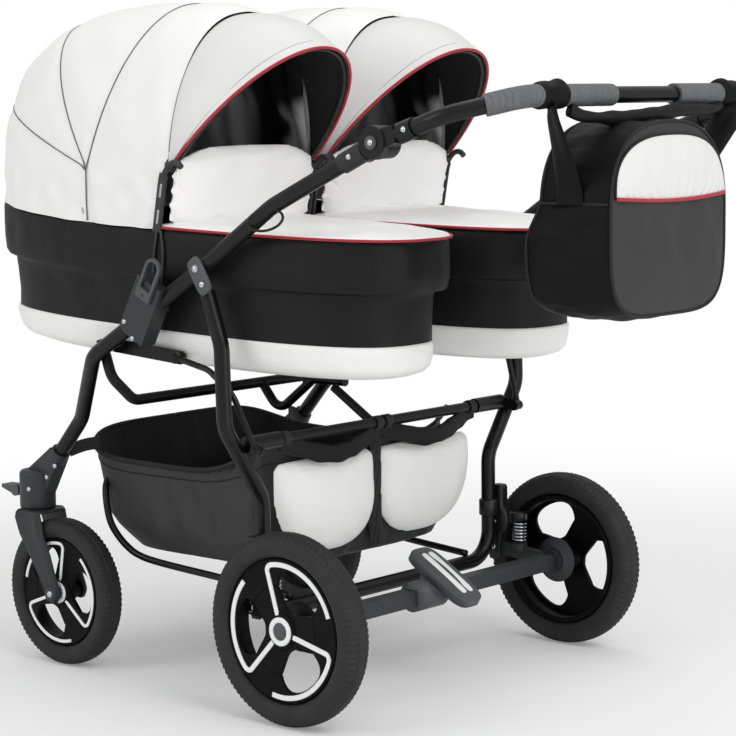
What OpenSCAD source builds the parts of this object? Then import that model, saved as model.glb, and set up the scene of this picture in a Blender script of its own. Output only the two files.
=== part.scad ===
// Side-by-side twin pram: folding tube frame, two carrycots with hoods, changing bag and basket.
// Millimetres. +X is the way it is pushed, +Y its left, +Z up. Origin on the floor under the middle.

/* [Wheels] */
// Radius of a rear wheel over its tyre
rear_wheel_r = 152; // [140:1:158]
// Radius of a front wheel over its tyre
front_wheel_r = 127; // [115:1:129]
// Width of a rear tyre
rear_tyre_w = 50; // [40:1:52]
// Width of a front tyre
front_tyre_w = 44; // [36:1:46]
// Distance between the mid planes of the rear wheels
rear_track = 716; // [712:1:740]
// Distance between the mid planes of the front wheels
front_track = 616; // [610:1:624]
// Distance from the rear axle to the front axle
wheelbase = 573; // [565:1:590]
// Distance that a front axle trails behind its swivel
trail = 67; // [60:1:70]
// Radius of the wheel axles
axle_r = 6; // [4.5:0.5:7]

/* [Frame] */
// Distance between the axes of the two side rails
rail_span = 744; // [740:1:760]
// Radius of the side tubes
tube_r = 12.5; // [10.5:0.5:13]
// Radius of the cross bars
bar_r = 9; // [7:0.5:10]
// Height of the fold hinge on the side rails
fold_z = 705; // [700:1:712]
// Angle of the front legs below level
rail_angle = 31; // [30:0.5:32]
// Height of the handle hinge
knob_z = 902; // [880:1:915]
// Height of the push bar
push_z = 967; // [940:1:985]
// Distance of the push bar behind the handle hinge
push_reach = 202; // [190:1:215]
// Length of bare bar between the two grips
grip_gap = 166; // [140:2:190]
// Radius of a grip
grip_r = 16.5; // [15.5:0.5:17]
// Radius of a rivet's head
rivet_r = 6.5; // [5.5:0.5:7]

/* [Carrycots] */
// Length of a carrycot over its rim
cot_len = 924; // [890:2:930]
// Width of a carrycot over its rim
cot_w = 344; // [336:1:345]
// Height of the underside of a carrycot at its foot end
cot_bottom_z = 528; // [524:1:540]
// Height of the white band around the bottom of a carrycot
band_h = 55; // [40:1:60]
// Height of the rim of a carrycot at its foot end
rim_z = 745; // [740:1:750]
// Rise of the rim at the head end
head_rise = 20; // [10:1:30]
// Slope of a carrycot towards its head end
cot_slope = 0.035; // [0.02:0.005:0.04]
// Height of the top of a hood
hood_top_z = 1122; // [1100:1:1140]
// Thickness of the hood cloth
hood_t = 3; // [2:0.5:4]
// Height of a wind flap
flap_h = 118; // [100:2:122]

/* [Bag and basket] */
// Width of the changing bag
bag_w = 312; // [270:6:318]
// Height of the changing bag
bag_h = 290; // [250:2:294]
// Depth of the changing bag
bag_d = 172; // [140:2:174]
// Width of the basket
basket_w = 500; // [460:5:505]
// Height of the basket floor
basket_z = 196; // [192:1:210]
// Thickness of the basket cloth
basket_t = 4; // [3:0.5:5]

/* [Rear suspension] */
// Radius of a coil of the springs
spring_r = 11; // [9:0.5:12]
// Radius of the spring wire
wire_r = 1.9; // [1.4:0.1:2.1]
// Number of turns of a spring
spring_turns = 6; // [5:1:7]

/* [Hidden] */
$fn = 48;
rear_x = -155;
front_x = rear_x + wheelbase;
swivel_x = front_x + trail;
rail_y = rail_span / 2;
rear_y = rear_track / 2;
front_y = front_track / 2;
fold_x = rear_x + 160;
knob_x = rear_x - 205;
push_x = knob_x - push_reach;
leg_x = rear_x + 118;
leg_low_y = 290;
leg_low_z = rear_wheel_r - 4;
run = 0.05;
gap = 0.3;
loop_pin_r = 3;
// Straight sides stay this share of a round end's radius, so that they cross its arc
shy = 0.997;

rail_dir = [cos(rail_angle), 0, -sin(rail_angle)];
fold_p = [fold_x, rail_y, fold_z];
knob_p = [knob_x, rail_y, knob_z];
// Knee of the upper rail between the fold hinge and the handle hinge
knee_p = [fold_x - 150, rail_y, fold_z + 99];
upper_dir = (knee_p - knob_p) / norm(knee_p - knob_p);
handle_dir = [-push_reach, 0, push_z - knob_z] / norm([push_reach, 0, push_z - knob_z]);
rail_turn_p = fold_p + rail_dir * 300;
front_foot_p = [swivel_x - 54, front_y - 2, 360];
rail_low_p = [front_foot_p[0] - 62, front_foot_p[1], 430];
function on_rail(along) = fold_p + rail_dir * along;

cot_x = rear_x + 315;
cot_y = cot_w / 2 + 8;
cot_l = cot_len / 2;
cot_hw = cot_w / 2;
// A carrycot reaches further past its seat at the head than at the foot
cot_foot = cot_l - 9;
cot_head = cot_l + 9;
ledge_z = rim_z - 81;
band_z = cot_bottom_z + band_h;
pivot_x = cot_x - 57;
pivot_z = rim_z + 111;
arm_low_x = pivot_x + 29;
arm_low_z = rim_z - 106;
arm_y0 = cot_hw + 0.5;
arm_t = 4;
l4_angle = 95.3;
visor_angle = 134.5;
adapter_x = arm_low_x;
adapter_z = fold_z - tan(rail_angle) * (adapter_x - fold_x);
// Lean of an adapter, steeper than the rail that it sits on
adapter_angle = rail_angle + 31;

brace_front = on_rail(268);
brace_mid = [fold_x + 81, 0, fold_z - 148];
brace_rear = [leg_x - 31, 0, 420];
cross_z = 425;
front_bar_x = cot_x + 85;
front_bar_z = 472;
apex_z = 487;

sus_x = leg_x;
sus_z = rear_wheel_r + 13;
arm_y = 312;
spring_x = leg_x - 48;
spring_y = arm_y + 6;
spring_low = rear_wheel_r + 24;
spring_top = spring_low + 40;
beam_h = 26;

crown_z = 2 * front_wheel_r + 10;
housing_top = crown_z + 68;

function unit(v) = v / norm(v);
function spow(v, p) = sign(v) * pow(abs(v), p);
function turn_of(a, b) = acos(max(-1, min(1, unit(a) * unit(b))));

// A rod between two points
module rod(a, b, r) {
    d = b - a;
    translate(a) rotate([0, acos(d[2] / norm(d)), atan2(d[1], d[0])]) cylinder(h = norm(d), r = r);
}

// A tube's bend between two directions at a corner
module bend(p, d1, d2, r, bend_r) {
    beta = turn_of(d1, d2);
    n = unit(cross(d1, d2));
    c = p + unit(d2 - d1) * bend_r / cos(beta / 2);
    start = p - d1 * bend_r * tan(beta / 2);
    ex = unit(start - c);
    ey = cross(n, ex);
    multmatrix([[ex[0], ey[0], n[0], c[0]], [ex[1], ey[1], n[1], c[1]], [ex[2], ey[2], n[2], c[2]], [0, 0, 0, 1]])
        rotate_extrude(angle = beta) translate([bend_r, 0]) circle(r = r * 0.9965);
}

// A tube through points, bent at each inner one, whose straight lengths reach into the bends
module tube(pts, r, bend_r) {
    last = len(pts) - 1;
    dirs = [for (i = [0:last - 1]) unit(pts[i + 1] - pts[i])];
    cut = [for (i = [0:last]) i == 0 || i == last ? 0 : bend_r * tan(turn_of(dirs[i - 1], dirs[i]) / 2) - 0.6];
    for (i = [0:last - 1]) rod(pts[i] + dirs[i] * cut[i], pts[i + 1] - dirs[i] * cut[i + 1], r);
    for (i = [1:last - 1]) bend(pts[i], dirs[i - 1], dirs[i], r, bend_r);
}

// A closed solid through rings of points, each counter-clockwise seen from the next ring's side
module loft(rings) {
    n = len(rings[0]);
    m = len(rings);
    mid = function (ring) [for (k = [0:2]) [for (p = ring) p[k]] * [for (p = ring) 1] / n];
    pts = [for (ring = rings) each ring, mid(rings[0]), mid(rings[m - 1])];
    sides = [for (i = [0:m - 2], j = [0:n - 1]) let (a = i * n + j, b = i * n + (j + 1) % n)
        each [[a, a + n, b + n], [a, b + n, b]]];
    low = [for (j = [0:n - 1]) [m * n, j, (j + 1) % n]];
    high = [for (j = [0:n - 1]) [m * n + 1, (m - 1) * n + (j + 1) % n, (m - 1) * n + j]];
    polyhedron(points = pts, faces = concat(sides, low, high), convexity = 8);
}

// A closed arch through rings whose points run out along the cloth and back along its inside
module arch(rings) {
    n = len(rings[0]);
    h = n / 2;
    last = (len(rings) - 1) * n;
    sides = [for (i = [0:len(rings) - 2], j = [0:n - 1]) let (a = i * n + j, b = i * n + (j + 1) % n)
        each [[a, a + n, b + n], [a, b + n, b]]];
    low = [for (j = [0:h - 2]) let (c = n - 2 - j, d = n - 1 - j) each [[d, j, j + 1], [d, j + 1, c]]];
    high = [for (f = low) [for (k = [2, 1, 0]) f[k] + last]];
    polyhedron(points = [for (ring = rings) each ring], faces = concat(sides, low, high), convexity = 8);
}

// Both sides of a piece that is drawn on the left
module both() {
    children();
    mirror([0, 1, 0]) children();
}

// One carrycot's frame: its own middle, on the left or the right of the pram
module at_cot(side) {
    translate([cot_x, side * cot_y, 0]) children();
}

// Rise of the rim towards the head end
function rise(x) = head_rise * pow(max(0, (x - 60) / (cot_l - 60)), 2);

// An oval ring: foot and head lengths, half width, height and the share of the rim's rise
function oval(lf, lh, w, z, share, n, count) = [for (i = [0:count - 1])
    let (a = 360 * i / count, c = cos(a), x = (c > 0 ? lh : lf) * spow(c, 2 / n), y = w * spow(sin(a), 2 / n))
    [x, y, z + share * rise(x)]];

// A ring laid on the carrycot's slope
function laid(ring) = [for (p = ring) p + [0, 0, cot_slope * (p[0] + cot_l)]];

// A plate in the plane of X and Z, from y0 to y1
module plate(y0, y1) {
    translate([0, y1, 0]) rotate([90, 0, 0]) linear_extrude(height = y1 - y0) children();
}

// A flat bar with round ends between two points of the plane of X and Z
module strap2d(a, b, r) {
    d = b - a;
    translate(a) circle(r = r);
    translate(b) circle(r = r);
    translate(a) rotate(atan2(d[1], d[0])) translate([0, -r * shy]) square([norm(d), 2 * r * shy]);
}

// A pin along Y
module ypin(x, z, r, y0, y1) {
    translate([x, y1, z]) rotate([90, 0, 0]) cylinder(h = y1 - y0, r = r);
}

// A rivet's head on the face at y
module rivet_head(x, z, y) {
    translate([x, y, z]) rotate([-90, 0, 0]) cylinder(h = 2.2, r1 = rivet_r, r2 = rivet_r - 2);
}

// Frame

module front_legs() {
    color("#1b1b1d") both() tube([fold_p, rail_turn_p, rail_low_p, front_foot_p], tube_r, 70);
}

module upper_rails() {
    color("#1b1b1d") both() tube([fold_p + unit(knee_p - fold_p) * 0.8, knee_p, knob_p + upper_dir * 28], tube_r, 150);
}

module frame_rivets() {
    color("#c9ccd0") both() {
        ypin(fold_x, fold_z, 4, rail_y + tube_r + gap, rail_y + tube_r + 5.5);
        rivet_head(fold_x, fold_z, rail_y + tube_r + 5.5);
        ypin(brace_front[0], brace_front[2], 4, rail_y - tube_r - 17, rail_y - tube_r - gap);
    }
}

module front_cross_bar() {
    off = tube_r + bar_r + gap + 1.3;
    top_p = on_rail(292) + [0, -off, 0];
    mid_p = [front_bar_x, rail_y - off, front_bar_z + 42];
    low_p = [front_bar_x - 6, rail_y - 66, front_bar_z];
    color("#18181a") {
        tube([top_p + [12, 0, 20], mid_p, low_p, [low_p[0], -low_p[1], low_p[2]],
            [mid_p[0], -mid_p[1], mid_p[2]], [top_p[0] + 12, -top_p[1], top_p[2] + 20]], bar_r, 30);
        tube([[cot_x - 118, 0, apex_z], [cot_x - 45, 0, apex_z], [cot_x + 38, 0, 424],
            [front_bar_x - 6, 0, front_bar_z]], bar_r - 1, 26);
        translate([adapter_x, 0, apex_z - 14]) cylinder(h = 600 - apex_z + 14, r = bar_r - 2);
    }
}

// The slot that a cot's tongue drops into
module tongue_slot(y0) {
    translate([adapter_x - 16, y0 - 0.7, arm_low_z - gap]) cube([32, arm_t + 1.4, 80]);
}

module cot_adapters() {
    along = (adapter_x - fold_x) / cos(rail_angle);
    outer_y0 = cot_y + arm_y0;
    color("#3c3d40") {
        both() difference() {
            union() {
                translate([adapter_x, 0, adapter_z]) rotate([0, adapter_angle, 0])
                    translate([-56, rail_y - tube_r - 1, -29]) cube([100, 2 * tube_r + 9, 58]);
                translate([adapter_x - 25, outer_y0 - 4.5, arm_low_z - 9]) cube([50, rail_y - outer_y0, 42]);
            }
            rod(on_rail(along - 90), on_rail(along + 90), tube_r + run);
            tongue_slot(outer_y0);
            translate([adapter_x, 0, adapter_z]) rotate([0, adapter_angle, 0]) {
                // A notch at the top, cut corners at the foot and room for the folding brace
                translate([-56, rail_y - tube_r - 2, 0]) rotate([0, 45, 0]) cube([24, 60, 24], center = true);
                translate([34, rail_y - 30, 29]) rotate([0, 40, 0]) cube([60, 80, 60], center = false);
                translate([34, rail_y - 30, -29]) rotate([0, 50, 0]) translate([0, 0, -60]) cube([60, 80, 60]);
                translate([-60, rail_y - tube_r - 2, -30]) cube([110, 4.6, 18]);
            }
        }
        both() translate([adapter_x, 0, adapter_z]) rotate([0, adapter_angle, 0])
            ypin(-34, 0, loop_pin_r, rail_y + tube_r + 7, rail_y + tube_r + 13.2);
        difference() {
            translate([adapter_x - 30, -17, 600 + gap]) cube([60, 34, rim_z - 674]);
            tongue_slot(cot_y - arm_y0 - arm_t);
            tongue_slot(-cot_y + arm_y0);
        }
    }
}

module release_loop() {
    color("#3c3d40") translate([adapter_x, rail_y + tube_r + 8.4, adapter_z]) rotate([0, adapter_angle, 0])
        difference() {
            rotate([-90, 0, 0]) linear_extrude(height = 5) difference() {
                union() {
                    translate([-82, 0]) circle(r = 17);
                    translate([-82, -17 * shy]) square([55, 34 * shy]);
                }
                translate([-82, 0]) circle(r = 11.5);
                translate([-82, -11.5 * shy]) square([38, 23 * shy]);
            }
            rotate([-90, 0, 0]) translate([-34, 0, -1]) cylinder(h = 8, r = loop_pin_r + run);
        }
}
module left_release_loop() { release_loop(); }
module right_release_loop() { mirror([0, 1, 0]) release_loop(); }

module rail_loop() {
    d = unit(knee_p - fold_p);
    c = fold_p + d * 155;
    color("#8c8f94") {
        difference() {
            rod(c - d * 11, c + d * 11, tube_r + 3);
            rod(c - d * 20, c + d * 20, tube_r + run);
        }
        translate(c + [2, -tube_r - 10.1, -12]) rotate([70, 0, 0]) rotate_extrude() translate([14, 0]) circle(r = 2);
    }
}

module handle_sockets() {
    color("#242426") both() difference() {
        union() {
            ypin(knob_x, knob_z, 24, rail_y - 22, rail_y - gap);
            rod(knob_p + upper_dir * 27.5, knob_p + upper_dir * 76, tube_r + 3);
            translate(knob_p) rotate([0, -atan2(upper_dir[2], upper_dir[0]), 0])
                translate([8, -18, -14]) cube([32, 18 - gap, 28]);
        }
        rod(knob_p + upper_dir * 28, knob_p + upper_dir * 90, tube_r + run);
    }
}

module swivel_housings() {
    color("#2a2b2e") both() difference() {
        union() {
            translate([swivel_x, front_y, crown_z]) cylinder(h = housing_top - crown_z, r = 25);
            rod(front_foot_p + [-8, 0, 10], front_foot_p + [6, 0, -7], tube_r + 4);
            plate(front_y - 15, front_y + 11) polygon([[swivel_x - 66, 356], [swivel_x - 48, 376], [swivel_x + 14, housing_top],
                [swivel_x + 20, crown_z + 12], [swivel_x - 20, crown_z + 12]]);
            plate(front_y - 7, front_y + 7) polygon([[swivel_x, crown_z + 20], [swivel_x + 40, crown_z + 22],
                [swivel_x + 40, crown_z + 34], [swivel_x, crown_z + 62]]);
        }
        tube([fold_p, rail_turn_p, rail_low_p, front_foot_p], tube_r + run, 70);
        translate([swivel_x, front_y, crown_z - 1]) cylinder(h = 57, r = 9 + run);
        ypin(swivel_x + 48, crown_z + 28, 11, front_y - 20, front_y + 20);
    }
}

// Basket

// A ring of the basket's cloth: its ends, half width, height, lift at the front and hang from the rear cross bar
function basket_ring(x0, x1, w, z, lift, hang) = [for (i = [0:47])
    let (a = 360 * i / 48, c = cos(a), y = spow(sin(a), 0.36), back = min(1, 1.6 * pow(max(0, -c), 1.2)))
    [(x0 + x1) / 2 + (x1 - x0) / 2 * spow(c, 0.36), w * y,
        z + lift * pow(max(0, c), 2) + hang * back * (0.75 + 0.25 * cos(375 * y))]];

module basket() {
    x0 = leg_x + 20;
    xt = leg_x + bar_r + gap;
    x1 = swivel_x - 48;
    w = basket_w / 2;
    t = basket_t;
    top_z = basket_z + 159;
    hang = cross_z - top_z;
    color("#1d1d1f") loft([
        basket_ring(x0 + 30, x1 - 95, w - 48, basket_z, 10, 0),
        basket_ring(x0 + 12, x1 - 73, w - 28, basket_z + 6, 12, 0),
        basket_ring(x0 + 4, x1 - 45, w - 22, basket_z + 40, 12, 0),
        basket_ring(x0, x1 - 17, w - 8, basket_z + 90, 22, 0),
        basket_ring(x0, x1 - 1, w - 1, top_z - 3, 40, hang * 0.8),
        basket_ring(xt, x1, w, top_z, 40, hang),
        basket_ring(xt + t, x1 - t, w - t, top_z, 40, hang),
        basket_ring(x0 + t, x1 - 1 - t, w - 1 - t, top_z - 4, 40, hang * 0.8),
        basket_ring(x0 + t, x1 - 17 - t, w - 8 - t, basket_z + 90, 22, 0),
        basket_ring(x0 + 4 + t, x1 - 45 - t, w - 22 - t, basket_z + 40 + t, 12, 0),
        basket_ring(x0 + 34, x1 - 99, w - 52, basket_z + t, 10, 0)]);
}

module basket_pockets() {
    color("#eeeeec") both() translate([leg_x + 19.4, 128, 0]) loft([for (k = [[0, 1], [-10, 0.99], [-24, 0.93], [-33, 0.8], [-37, 0.5]])
        [for (i = [0:27]) let (a = 360 * i / 28, c = cos(a), s = sin(a))
            [k[0] * (1 - 0.25 * max(0, s)), -118 * k[1] * spow(c, 0.55), 306 + (s > 0 ? 69 : 92) * k[1] * spow(s, 0.6)]]]);
}

module basket_rod() {
    y = basket_w / 2 - 24;
    color("#141415") both() tube([[swivel_x - 65, front_y - 15 - 4 - gap, 352], [swivel_x - 83, front_y - 50, 296],
        [swivel_x - 97, y + 14, 262], [swivel_x - 151, y + 3, basket_z + 14], [swivel_x - 223, y, basket_z - 10], [leg_x, y, leg_low_z + tube_r + 4 + gap]], 4, 24);
}

// Front wheels

// The tyre's cross-section ring, around Y at the origin
module tyre(r, w) {
    rotate([90, 0, 0]) rotate_extrude() difference() {
        translate([r - w * 0.52, 0]) intersection() {
            scale(1) circle(r = w * 0.52);
            square([w * 1.04, w], center = true);
        }
        translate([r - w * 1.6, -w]) square([w * 0.82, 2 * w]);
    }
}

// A three-spoke rim around Y at the origin, that ends inside the tyre
module rim(r, w, hub_w, bore) {
    seat = r - w * 0.79;
    rotate([90, 0, 0]) difference() {
        union() {
            translate([0, 0, -w * 0.24]) linear_extrude(height = w * 0.48) difference() {
                circle(r = seat);
                circle(r = seat - 8);
            }
            translate([0, 0, -w * 0.16]) linear_extrude(height = w * 0.32) difference() {
                circle(r = seat - 4);
                for (k = [0:2]) rotate(120 * k + 20) difference() {
                    polygon([[0, 0], [seat * 2, -seat * 0.62], [seat * 2, seat * 1.9], [seat * 0.4, seat * 1.2]]);
                    circle(r = seat * 0.36);
                    difference() {
                        circle(r = seat * 3);
                        circle(r = seat * 0.84);
                    }
                }
            }
            translate([0, 0, -hub_w / 2]) cylinder(h = hub_w, r = seat * 0.24);
        }
        translate([0, 0, -hub_w]) cylinder(h = 2 * hub_w, r = bore + run);
    }
}

module front_tyre() {
    color("#1c1c1d") translate([front_x, front_y, front_wheel_r]) tyre(front_wheel_r, front_tyre_w);
}
module left_front_tyre() { front_tyre(); }
module right_front_tyre() { mirror([0, 1, 0]) front_tyre(); }

module front_rim() {
    color("#222225") translate([front_x, front_y, front_wheel_r]) rim(front_wheel_r, front_tyre_w, front_tyre_w, axle_r - 1);
}
module left_front_rim() { front_rim(); }
module right_front_rim() { mirror([0, 1, 0]) front_rim(); }

module fork() {
    in_y = front_tyre_w / 2 + 4;
    color("#2a2b2e") {
        translate([swivel_x, front_y, crown_z - 14]) cylinder(h = 13.6, r = 27);
        translate([swivel_x, front_y, crown_z - 4]) cylinder(h = 56, r = 9);
        difference() {
            plate(front_y - in_y - 8, front_y + in_y + 8) polygon([[swivel_x + 24, crown_z - 4], [swivel_x - 24, crown_z - 4],
                [front_x - 16, front_wheel_r + 14], [front_x - 18, front_wheel_r - 8], [front_x, front_wheel_r - 19],
                [front_x + 18, front_wheel_r - 8], [swivel_x + 10, crown_z - 60]]);
            translate([front_x, front_y + in_y, front_wheel_r]) rotate([90, 0, 0]) cylinder(h = 2 * in_y, r = front_wheel_r + 6);
        }
        ypin(front_x, front_wheel_r, axle_r - 1, front_y - in_y - 4, front_y + in_y + 4);
        ypin(front_x, front_wheel_r, 13, front_y + in_y + 7, front_y + in_y + 12);
    }
}
module left_fork() { fork(); }
module right_fork() { mirror([0, 1, 0]) fork(); }

module swivel_lock() {
    lx = swivel_x + 48;
    lz = crown_z + 28;
    color("#55575b") {
        ypin(lx, lz, 10, front_y - 12, front_y + 12);
        plate(front_y - 12, front_y + 12) polygon([[lx, lz - 8], [lx + 34, lz + 2], [lx + 34, lz + 8], [lx, lz + 9]]);
    }
}
module left_swivel_lock() { swivel_lock(); }
module right_swivel_lock() { mirror([0, 1, 0]) swivel_lock(); }

// Rear legs, axle and wheels

leg_top_d = [-0.21, 0, -0.978];
leg_a = fold_p + leg_top_d * 38;
leg_b = [leg_x + 4, rail_y, 585];
leg_c = [leg_x, rail_y, 455];
leg_d = [leg_x, leg_low_y, 335];
leg_e = [leg_x, leg_low_y, leg_low_z];

function flip_y(pts) = [for (i = [len(pts) - 1:-1:0]) [pts[i][0], -pts[i][1], pts[i][2]]];

module rear_leg_frame() {
    half = [leg_a, leg_b, leg_c, leg_d, leg_e];
    color("#1b1b1d") tube(concat(half, flip_y(half)), tube_r, 52);
}

module fold_plates() {
    y1 = rail_y + tube_r;
    d = unit(leg_b - leg_a);
    color("#4a4c50") both() difference() {
        union() {
            plate(y1 + 0.6, y1 + 4.8) strap2d([fold_x, fold_z], [leg_a[0] + d[0] * 16, leg_a[2] + d[2] * 16], 13);
            rod(leg_a - d * 1, leg_a + d * 32, tube_r + 3);
        }
        rod(leg_a, leg_a + d * 60, tube_r + run);
        ypin(fold_x, fold_z, 4 + run, y1 - 10, y1 + 20);
    }
}

module rear_cross_bar() {
    y1 = 328;
    color("#18181a") {
        rod([leg_x, y1, cross_z], [leg_x, -y1, cross_z], bar_r);
        rod([leg_x, 20, cross_z], [leg_x + 88, 20, apex_z - 8], 7.5);
        both() {
            rod([leg_x, 250, cross_z], [leg_x, y1 - 2, cross_z], bar_r + 4);
            plate(324, 331) strap2d([leg_x - 9, cross_z], [brace_rear[0], brace_rear[2]], 9);
        }
    }
}

module suspension_housings() {
    color("#232326") both() {
        difference() {
            union() {
                translate([leg_x - 18, leg_low_y - 18, spring_top - 10]) cube([36, 40, 58]);
                translate([spring_x - 14, arm_y - 8, spring_top + 1]) cube([48, 28, 14]);
                translate([leg_x - 12, leg_low_y + 14, sus_z - 12]) cube([24, arm_y - leg_low_y - 14.5, 90]);
                translate([leg_x + 2, leg_low_y + 24, spring_top + 34]) cylinder(h = 36, r = 11);
            }
            translate([leg_x, leg_low_y, 100]) cylinder(h = 300, r = tube_r + run);
        }
        ypin(sus_x, sus_z, 5, arm_y - 3, arm_y + 12);
        ypin(sus_x, sus_z, 9, arm_y + 11.4, arm_y + 15);
    }
}

coil_n = 8 * spring_turns;
coil_pts = [for (i = [0:coil_n]) let (a = 360 * i / 8)
    [spring_x + spring_r * cos(a), spring_y + spring_r * sin(a),
        spring_low + gap + wire_r + (spring_top - spring_low - 2 * gap - 2 * wire_r) * i / coil_n]];
coil_gap = min([for (i = [0:coil_n - 5], j = [i + 5:coil_n]) norm(coil_pts[i] - coil_pts[j])]) - 2 * wire_r;
echo("least gap of a spring to itself", coil_gap);

module suspension_springs() {
    color("#c4c7cb") both() loft([for (i = [0:coil_n])
        let (a = 360 * i / 8, out = [cos(a), sin(a), 0],
            pitch = (spring_top - spring_low - 2 * gap - 2 * wire_r) / spring_turns,
            along = unit([-2 * PI * spring_r * sin(a), 2 * PI * spring_r * cos(a), pitch]), side = cross(along, out))
        [for (j = [0:5]) coil_pts[i] + wire_r * (cos(60 * j) * out + sin(60 * j) * side)]]);
}

module rear_axle() {
    hub_y = rear_y - rear_tyre_w / 2;
    color("#2c2d30") {
        translate([rear_x - 13, -arm_y - 1, rear_wheel_r - beam_h / 2]) cube([26, 2 * arm_y + 2, beam_h]);
        both() {
            difference() {
                plate(arm_y, arm_y + 11) {
                    strap2d([sus_x, sus_z], [rear_x, rear_wheel_r], 12);
                    translate([rear_x, rear_wheel_r]) circle(r = 20);
                }
                ypin(sus_x, sus_z, 5 + run, arm_y - 5, arm_y + 20);
            }
            translate([spring_x, spring_y, sus_z - 2]) cylinder(h = spring_low - sus_z + 2, r = spring_r + 3);
            translate([rear_x, arm_y + 10, rear_wheel_r]) rotate([-90, 0, 0]) cylinder(h = hub_y - arm_y - 10.6, r1 = 24, r2 = 40);
            ypin(rear_x, rear_wheel_r, axle_r, arm_y + 5, rear_y + rear_tyre_w / 2 - 7);
        }
    }
}

module brake_pedal() {
    color("#5a5c60") difference() {
        union() {
            ypin(rear_x, rear_wheel_r, 25, -6, 66);
            translate([rear_x - 22, 30, rear_wheel_r + 27]) rotate([0, -28, 0]) {
                translate([0, 0, -9]) linear_extrude(height = 14) {
                    translate([62, 0]) circle(r = 30);
                    translate([-62, 0]) circle(r = 26);
                    polygon([[62, 30], [62, -30], [-62, -26], [-62, 26]]);
                }
                translate([-26, -24, -30]) cube([52, 48, 26]);
            }
        }
        ypin(rear_x, rear_wheel_r, norm([13, beam_h / 2]) + 0.4, -20, 80);
    }
}

module rear_tyre() {
    color("#1c1c1d") translate([rear_x, rear_y, rear_wheel_r]) tyre(rear_wheel_r, rear_tyre_w);
}
module left_rear_tyre() { rear_tyre(); }
module right_rear_tyre() { mirror([0, 1, 0]) rear_tyre(); }

module rear_rim() {
    color("#222225") translate([rear_x, rear_y, rear_wheel_r]) {
        rim(rear_wheel_r, rear_tyre_w, rear_tyre_w - 2, axle_r);
        translate([0, rear_tyre_w / 2 - 5, 0]) rotate([-90, 0, 0]) cylinder(h = 6, r1 = 19, r2 = 15);
    }
}
module left_rear_rim() { rear_rim(); }
module right_rear_rim() { mirror([0, 1, 0]) rear_rim(); }

// Folding braces

brace_y = rail_y - tube_r - 17;

module brace_front_links() {
    a = [brace_front[0], brace_front[2]];
    m = [brace_mid[0], brace_mid[2]];
    color("#1d1d1f") both() {
        difference() {
            plate(brace_y, brace_y + 5) strap2d(a, m, 11);
            ypin(a[0], a[1], 4 + run, brace_y - 5, brace_y + 10);
        }
        ypin(m[0], m[1], 4, brace_y + 4, brace_y + 17);
        rivet_head(m[0], m[1], brace_y + 16.4);
    }
}

module brace_rear_links() {
    y = brace_y + 10.9;
    low_y = 336.4;
    m = [brace_mid[0], y, brace_mid[2]];
    knee = [leg_x + 52, y, brace_mid[2] - 14];
    color("#1d1d1f") both() {
        tube([m + unit(knee - m) * 6, knee, [leg_x + 2, y - 3, 506], [brace_rear[0], low_y, brace_rear[2]]], 5, 40);
        difference() {
            ypin(m[0], m[2], 9, y - 5.2, y + 5.2);
            ypin(m[0], m[2], 4 + run, y - 20, y + 20);
        }
        ypin(brace_rear[0], brace_rear[2], 8, low_y - 4.8, low_y + 4.8);
        rivet_head(brace_rear[0], brace_rear[2], low_y + 4.7);
    }
}

// Handle

bar_pts = [[push_x, 0, push_z], [push_x, 288, push_z], [push_x + 82, rail_y, push_z + 82 * handle_dir[2] / handle_dir[0]],
    knob_p + handle_dir * 28];
full_bar = concat(flip_y([for (i = [1:3]) bar_pts[i]]), [for (i = [1:3]) bar_pts[i]]);

module handle_bar() {
    color("#1b1b1d") {
        tube(full_bar, tube_r, 70);
        both() difference() {
            union() {
                ypin(knob_x, knob_z, 24, rail_y + gap, rail_y + 18);
                rod(knob_p + handle_dir * 27, knob_p + handle_dir * 72, tube_r + 3);
                translate(knob_p) rotate([0, -atan2(handle_dir[2], handle_dir[0]), 0])
                    translate([8, gap, -14]) cube([34, 15, 28]);
            }
            ypin(knob_x, knob_z, 10 + run, rail_y + 8, rail_y + 30);
        }
    }
}

module handle_grips() {
    start = [push_x, grip_gap / 2, push_z];
    color("#4a4b4f") both() difference() {
        tube([start, bar_pts[1], (bar_pts[1] + bar_pts[2]) / 2], grip_r, 70);
        tube([start - [0, 5, 0], bar_pts[1], bar_pts[2]], tube_r + run, 70);
    }
}

module handle_button() {
    color("#6a6c70") ypin(knob_x, knob_z, 10, rail_y + 13.5, rail_y + 21);
}
module left_handle_button() { handle_button(); }
module right_handle_button() { mirror([0, 1, 0]) handle_button(); }

// Changing bag

bag_top = push_z - 40;
bag_x = push_x + 14;

module changing_bag() {
    color("#1f1f21") translate([bag_x, 0, 0]) loft([for (k = [[-0.5, 0.74], [-0.44, 0.92], [-0.3, 1], [0.3, 1], [0.44, 0.93], [0.5, 0.78]])
        [for (i = [0:35]) let (a = 360 * i / 36, c = cos(a), s = sin(a))
            [bag_d * k[0], bag_w / 2 * k[1] * spow(c, s > 0 ? 0.75 : 0.42),
                bag_top - bag_h / 2 + bag_h / 2 * (1 - (1 - k[1]) * 0.5) * spow(s, s > 0 ? 0.7 : 0.42)]]]);
}

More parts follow.
